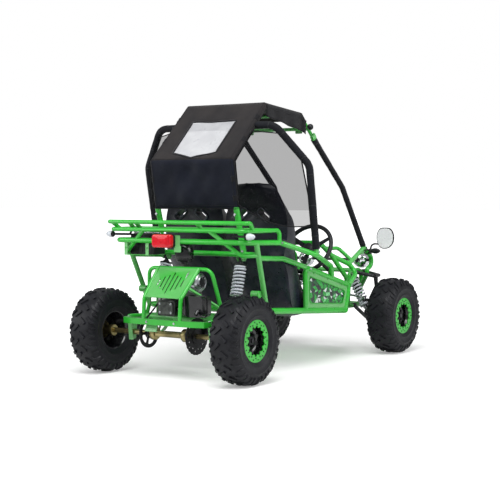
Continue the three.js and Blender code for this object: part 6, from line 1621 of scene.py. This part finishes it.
def make_steering():
    rise = RIGHT.cross(COLUMN).normalized()
    s = Shell()
    s.ring(STEER, COLUMN, 132, 11, 96, 18)
    root = STEER + COLUMN * 16
    for degrees in (30, 150, 270):
        u, v = polar(1, radians(degrees))
        out = RIGHT * u + rise * v
        reach = STEER + out * 126 - root
        s.plate([(0, -15), (reach.length, -9), (reach.length, 9), (0, 15)], 4, root + COLUMN * 2, reach.normalized(),
                out.cross(COLUMN).normalized())
    s.lathe([(0, -14), (20, -13), (29, -9), (31, -2), (30, 14), (24, 22), (12, 24), (10, 40)], STEER, COLUMN, 40)
    s.rod(STEER, COLUMN_END, 10)
    piece("wheel_and_column", s, PLASTIC, "steering_wheel", "steering_wheel", "black_plastic", bevel=0.8)

    start = COLUMN_END + COLUMN * 9.3
    pinion = V(100, RACK_Y, RACK_Z + 11 + 14 + 0.3)
    way = (pinion - start).normalized()
    j = Shell()
    j.ball(start, 9)
    j.rod(start, pinion - way * 11, 7)
    j.rod(pinion - way * 14, pinion, 14)
    j.ring(pinion - way * 12, way, 12.5, 1.8, 32, 8)
    piece("pinion_shaft", j, STEEL, "steering_shaft", "steering_shaft", "bright_steel")
    r = Shell()
    r.rod(V(-150, RACK_Y, RACK_Z), V(150, RACK_Y, RACK_Z), 11)
    for k in range(24):
        r.block(V(70 + k * 2.6, RACK_Y, RACK_Z + 10.5), 1.3, 12, 2.4)
    piece("rack_bar", r, STEEL, "steering_rack", "steering_rack", "bright_steel")

    lean = radians(18)
    pedal_rise = V(0, -sin(lean), cos(lean))
    face = RIGHT.cross(pedal_rise)
    for name, x in (("throttle", THROTTLE_X), ("brake", BRAKE_X)):
        foot = V(x, 1250, 252)
        p = Shell()
        p.plate([(-7, 0), (7, 0), (7, 124), (-7, 124)], 8, foot, RIGHT, pedal_rise)
        p.plate(rounded([(-26, 72), (26, 72), (26, 128), (-26, 128)], 8, 4), 8, foot + face * 5, RIGHT, pedal_rise)
        for low in range(79, 129, 10):
            p.plate([(-20, low), (20, low), (20, low + 5), (-20, low + 5)], 2, foot - face * 1.6, RIGHT, pedal_rise)
        p.rod(foot - RIGHT * 12, foot + RIGHT * 12, 9)
        piece(name + "_foot_pedal", p, BLACK, name + "_pedal", name + "_pedal", "black_paint", bevel=0.6)


def make_lamps():
    c = V(176, 1462, 494)
    b = Shell()
    b.lathe([(0, -29), (12, -29), (20, -27), (28, -20), (36, -10), (42, 2), (45, 14), (46, 24), (47, 27), (46, 29),
             (42, 29), (41, 26), (30, 6), (14, -8), (0, -10)], c, FORWARD, 56)
    b.ring(c + FORWARD * 27, FORWARD, 45, 2, 56, 10)
    piece("lamp_bowl_right", b, CHROME, "chassis", "headlights", "lamp_chrome")
    piece("lamp_bowl_left", b.flipped(), CHROME, "chassis", slot="lamp_chrome")
    g = Shell()
    g.lathe([(42, 26), (36, 28.4), (22, 29.6), (0, 30)], c, FORWARD, 48)
    pair("lamp_glass_", g, CLEAR_LENS, "chassis", slot="lamp_chrome")
    k = Shell()
    k.lathe([(0, -33), (8, -33), (13, -30), (13, -22)], c, FORWARD, 28)
    k.rod(c - V(0, 14, 20), c - V(0, 14, 34), 5)
    pair("lamp_socket_", k, PLASTIC, "chassis", slot="black_plastic")

    t = Shell()
    t.ring(V(250, 1388, 559), PILLAR_WAY, 14, 3, 32, 8)
    base = V(284, 1394, 549)
    t.tube([V(262, 1391, 556), base + V(6, 3, 0)], 5, sides=14)
    leaf = [(-2, 2), (0, 7), (8, 12), (22, 15), (36, 15), (50, 10), (58, 3), (58.4, 0.2)]
    t.grid([[base + V(x, 9 * u * half / 15 + 4, half * v) for u, v in circle(24, 1)] for x, half in leaf], wrap=True)
    pair("signal_body_", t, PLASTIC, "chassis", slot="black_plastic")
    u = Shell()
    front = [polar(1, pi * (k / 12 - 0.5)) for k in range(13)]
    u.grid([[base + V(x, 4 + 9.8 * y * half / 15, half * 0.92 * z) for y, z in front] for x, half in leaf[2:-2]])
    pair("signal_lens_", u, AMBER, "chassis", slot="red_lens")

    bar = Shell()
    half = 246 - 10.9 - 0.3
    bar.rod(V(-half, 1472, 494), V(half, 1472, 494), 8)
    for x in (176, -176):
        bar.plate(box_outline(32, 40, 4, 2), 4, V(x, 1480, 494), RIGHT, UP)
    piece("lamp_bar", bar, BLACK, "chassis", slot="black_paint")

    s = Shell()
    tip = V(384, 40, 664)
    s.along(route([V(300, 66, 678), V(304, 60, 664), tip], 10), 5.5, 12)
    s.lathe([(5, 0), (10, 3), (14, 8), (15, 12)], tip, RIGHT, 28)
    pair("indicator_stalk_", s, PLASTIC, "chassis", slot="black_plastic")
    q = Shell()
    q.lathe([(15, 12), (16, 18), (15, 30), (11, 42), (5, 50), (0, 52)], tip, RIGHT, 28)
    pair("indicator_lens_", q, CLEAR_LENS, "chassis", slot="lamp_chrome")


def make_mirrors():
    shape = [(-0.55, -1), (0.35, -1), (0.95, -0.45), (1, 0.35), (0.6, 1), (-0.6, 1), (-1, 0.4), (-0.95, -0.4)]
    outline = rounded([(u * 54, v * 58) for u, v in shape], 30, 7)
    head = V(352, 1440, 618)

    def layers(stations):
        return [[head + V(u * scale, y, v * scale) for u, v in outline] for y, scale in stations]

    s = Shell()
    s.grid(layers([(-8, 0.93), (-8, 0.985), (-6, 1.0), (0, 1.0), (4, 0.96), (8, 0.82), (10, 0.5), (10.6, 0.05)]),
           wrap=True)
    z = 566 + (512 - 566) * (1420 - 1378) / (1472 - 1378)
    base = V(246 + 12.5 + 9.3, 1420, z)
    s.along(route([base, base + V(6, 2, 46), head + V(-26, 8, -34), head + V(0, 9, 0)], 40), 5, 14)
    s.rod(base - UP * 12, base + UP * 12, 9)
    s.hex(base + UP * 12, base + UP * 18, 7)
    s.ring(V(247, 1420, z), PILLAR_WAY, 15, 3.2, 32, 8)
    pair("mirror_shell_", s, GLOSSY, "mirror_", "mirror_", "black_plastic")
    g = Shell()
    # The glass face carries a painted reflection: a near-white colour rather than a true mirror
    g.grid(layers([(-8.3 + 0.6 * (1 - scale), scale) for scale in (0.92, 0.6, 0.3, 0.02)]), wrap=True)
    pair("mirror_face_", g, MIRROR_PAINTED_REFLECTION, "mirror_", slot="lamp_chrome")


def make_tail():
    c = V(-64, 42 - 12.5 - 1.8 - 17, 637)
    s = Shell()
    outline = rounded(box_outline(117, 62), 16, 6)
    stations = ((17, 0.97), (4, 0.98), (3, 1.0), (-8, 1.0), (-13, 0.97), (-16, 0.9), (-17, 0.7), (-17.3, 0.02))
    s.grid([[c + V(u * scale, d, v * scale) for u, v in outline] for d, scale in stations], wrap=True)
    s.plate(outline, 1, c + FORWARD * 17, RIGHT, UP)
    for x in range(-45, 46, 9):
        s.along([c + V(x, -16.6, -22), c + V(x, -17.4, 0), c + V(x, -16.6, 22)], 1.1, 8)
    piece("tail_lens", s, RED, "chassis", "tail_lamp", "red_lens")
    b = Shell()
    b.plate(box_outline(120, 65, 17, 6), 12, c + FORWARD * 16.6, RIGHT, UP)
    for x in (-42, 42):
        b.bolt(c + V(x, -13.5, 0), -FORWARD, 2.8)
    piece("tail_back", b, PLASTIC, "chassis", slot="black_plastic", bevel=0.8)


def make_battery():
    t = Shell()
    t.plate(box_outline(148, 86, 7, 4), 92, V(BATTERY_X, 128, 568), RIGHT, FORWARD)
    t.plate(box_outline(156, 94, 9, 4), 8, V(BATTERY_X, 128, 658), RIGHT, FORWARD)
    for x in range(-56, 57, 28):
        t.block(V(BATTERY_X + x, 84.5, 612), 6, 2.4, 74)
    for x in range(-50, 51, 20):
        t.rod(V(BATTERY_X + x, 128, 665), V(BATTERY_X + x, 128, 668), 6)
    piece("battery_case", t, PLASTIC, "chassis", "battery_box", "black_plastic", bevel=0.8)
    p = Shell()
    for x in (-55, 55):
        p.rod(V(BATTERY_X + x, 100, 665), V(BATTERY_X + x, 100, 675), 6)
        p.bolt(V(BATTERY_X + x, 100, 674), UP, 4)
    strap = [V(-326, 128, 610), V(-326, 128, 669), V(-172, 128, 669), V(-172, 128, 610)]
    p.along(route(strap, 8), 5, 8, flat=0.3)
    piece("battery_posts", p, STEEL, "chassis", slot="bright_steel")


def make_small_parts():
    """Bolts, straps and brackets that the frame carries."""
    s = Shell()
    for side in (1, -1):
        for p, way in ((V(side * 478, 503, 582), RIGHT * side), (V(side * 400, 300, 630), RIGHT * side),
                       (V(side * 250, 222, 590), -FORWARD), (V(side * 232, 186, 760), -FORWARD),
                       (V(side * 350, 640, 490), RIGHT * side)):
            s.bolt(p + way * 12.6, way, 5)
        s.bolt(V(side * 236, -30, 276) - FORWARD * 2, -FORWARD, 6)
        s.bolt(V(side * 80, -94, 266), -FORWARD, 4.5)
    piece("frame_bolts", s, STEEL, "chassis", slot="bright_steel")
    c = Shell()
    for side in (1, -1):
        middle = V(side * 402, 330, 627)
        way = V(side * 78, 203, -64).normalized()
        c.along([middle - way * 14, middle + way * 14], 15.5, 24)
    piece("rail_joints", c, BLACK, "chassis", slot="black_paint")
    v = Shell()
    for side in (1, -1):
        for share, run in ((0.22, 0), (0.62, 0), (0.35, 1), (0.75, 1)):
            here = cover_frame(run, share)[0]
            here = V(side * here.x, here.y, here.z)
            way = (CANOPY_LINE[run + 1] - CANOPY_LINE[run]).normalized()
            way = V(side * way.x, way.y, way.z)
            v.along([here - way * 13, here, here + way * 13], [13.4, 12.4, 13.8], 20)
    piece("canopy_straps", v, HEM, "chassis", slot="canopy_cloth")
    b = Shell()
    for side in (1, -1):
        b.plate(rounded([(-20, -9), (20, -9), (20, 9), (-20, 9)], 4, 2), 4, V(side * 150, 868, 1176), RIGHT, UP)
        b.tube([V(side * 150, 866, 1190), V(side * 120, 700, 1250)], 6)
    piece("roof_braces", b, GREEN, "chassis", slot="green_paint")


# ---------------------------------------------------------------- camera, floor and light

CAMERA_PLACE = (3.466, -5.173, 0.843)
CAMERA_WAY = (-0.5611, 0.8266, -0.0436)
WORLD_LIGHT = 0.42
FLOOR_HALF = 60
# The floor's glow at the kart, and the distances in metres between which it rises to white
FLOOR_GLOW = 0.27
GLOW_REACH = (1.3, 4.5)
LAMPS = [
    ("key", (1.2, -2.6, 4.6), (0, 0, 0.5), (3.6, 3.6), 260),
    ("side", (4.4, 1.0, 2.6), (0, 0, 0.6), (2.6, 2.6), 100),
    ("fill", (-3.6, -3.6, 2.0), (0, -0.2, 0.5), (3.0, 2.4), 80),
]


def aimed(way):
    return Vector(way).to_track_quat("-Z", "Y").to_euler()


def make_stage():
    scene = bpy.context.scene
    camera = bpy.data.objects.new("camera", bpy.data.cameras.new("camera"))
    scene.collection.objects.link(camera)
    scene.camera = camera
    camera.data.sensor_width = 36
    camera.data.lens = 87.64
    camera.data.clip_end = 200
    camera.location = CAMERA_PLACE
    camera.rotation_euler = aimed(CAMERA_WAY)

    # The floor is lit, and glows for the camera alone: little near the kart, white far away
    n = Nodes("studio_floor")
    n.put(Roughness=0.8)
    tone = n.ramp(n.noise(2, 2), "Fac", [(0.3, (0.82, 0.82, 0.82, 1)), (0.7, (0.84, 0.84, 0.84, 1))])
    n.link(tone, "Color", n.shader, "Base Color")
    away = n.new("ShaderNodeVectorMath", operation="LENGTH")
    n.link(n.new("ShaderNodeNewGeometry"), "Position", away, 0)
    rise = n.grey(away, "Value", FLOOR_GLOW, 1.0, *GLOW_REACH)
    glow = n.new("ShaderNodeEmission")
    glow.inputs["Color"].default_value = FULL
    seen = n.math("MULTIPLY", n.new("ShaderNodeLightPath"), "Is Camera Ray", rise, "Result")
    n.link(seen, "Value", glow, "Strength")
    both = n.new("ShaderNodeAddShader")
    n.link(n.shader, "BSDF", both, 0)
    n.link(glow, "Emission", both, 1)
    n.link(both, "Shader", n.out, "Surface")
    mesh = bpy.data.meshes.new("studio_floor")
    corners = [(x * FLOOR_HALF, y * FLOOR_HALF, 0) for x, y in ((-1, -1), (1, -1), (1, 1), (-1, 1))]
    mesh.from_pydata(corners, [], [(0, 1, 2, 3)])
    mesh.materials.append(n.mat)
    floor = bpy.data.objects.new("studio_floor", mesh)
    scene.collection.objects.link(floor)

    # The sky is white for the camera and dimmer as a light
    world = bpy.data.worlds.new("studio")
    scene.world = world
    world.use_nodes = True
    tree = world.node_tree
    tree.nodes.clear()
    out = tree.nodes.new("ShaderNodeOutputWorld")
    sky = tree.nodes.new("ShaderNodeBackground")
    sky.inputs["Color"].default_value = FULL
    path = tree.nodes.new("ShaderNodeLightPath")
    level = tree.nodes.new("ShaderNodeMapRange")
    level.inputs["To Min"].default_value = WORLD_LIGHT
    level.inputs["To Max"].default_value = 1.0
    tree.links.new(path.outputs["Is Camera Ray"], level.inputs["Value"])
    tree.links.new(level.outputs["Result"], sky.inputs["Strength"])
    tree.links.new(sky.outputs["Background"], out.inputs["Surface"])

    for name, place, target, size, power in LAMPS:
        light = bpy.data.lights.new(name, "AREA")
        light.shape = "RECTANGLE"
        light.size, light.size_y = size
        light.energy = power
        lamp = bpy.data.objects.new(name, light)
        lamp.location = place
        lamp.rotation_euler = aimed(Vector(target) - Vector(place))
        scene.collection.objects.link(lamp)
    scene.view_settings.view_transform = "Standard"


make_stage()
make_floor()
make_rear_frame()
make_rack()
make_sides()
make_panel_patterns()
make_seats()
make_front()
make_canopy_frame()
make_sleeves()
make_hoop()
make_cradle()
make_axle()
make_engine()
make_wheels()
make_front_suspension()
make_shock("rear", V(222, 244, 552), V(222, 190, 352), RIGHT)
make_shock("front", FRONT_EYE, FRONT_FOOT, FORWARD)
make_canopy()
make_nets()
make_steering()
make_lamps()
make_mirrors()
make_tail()
make_battery()
make_small_parts()
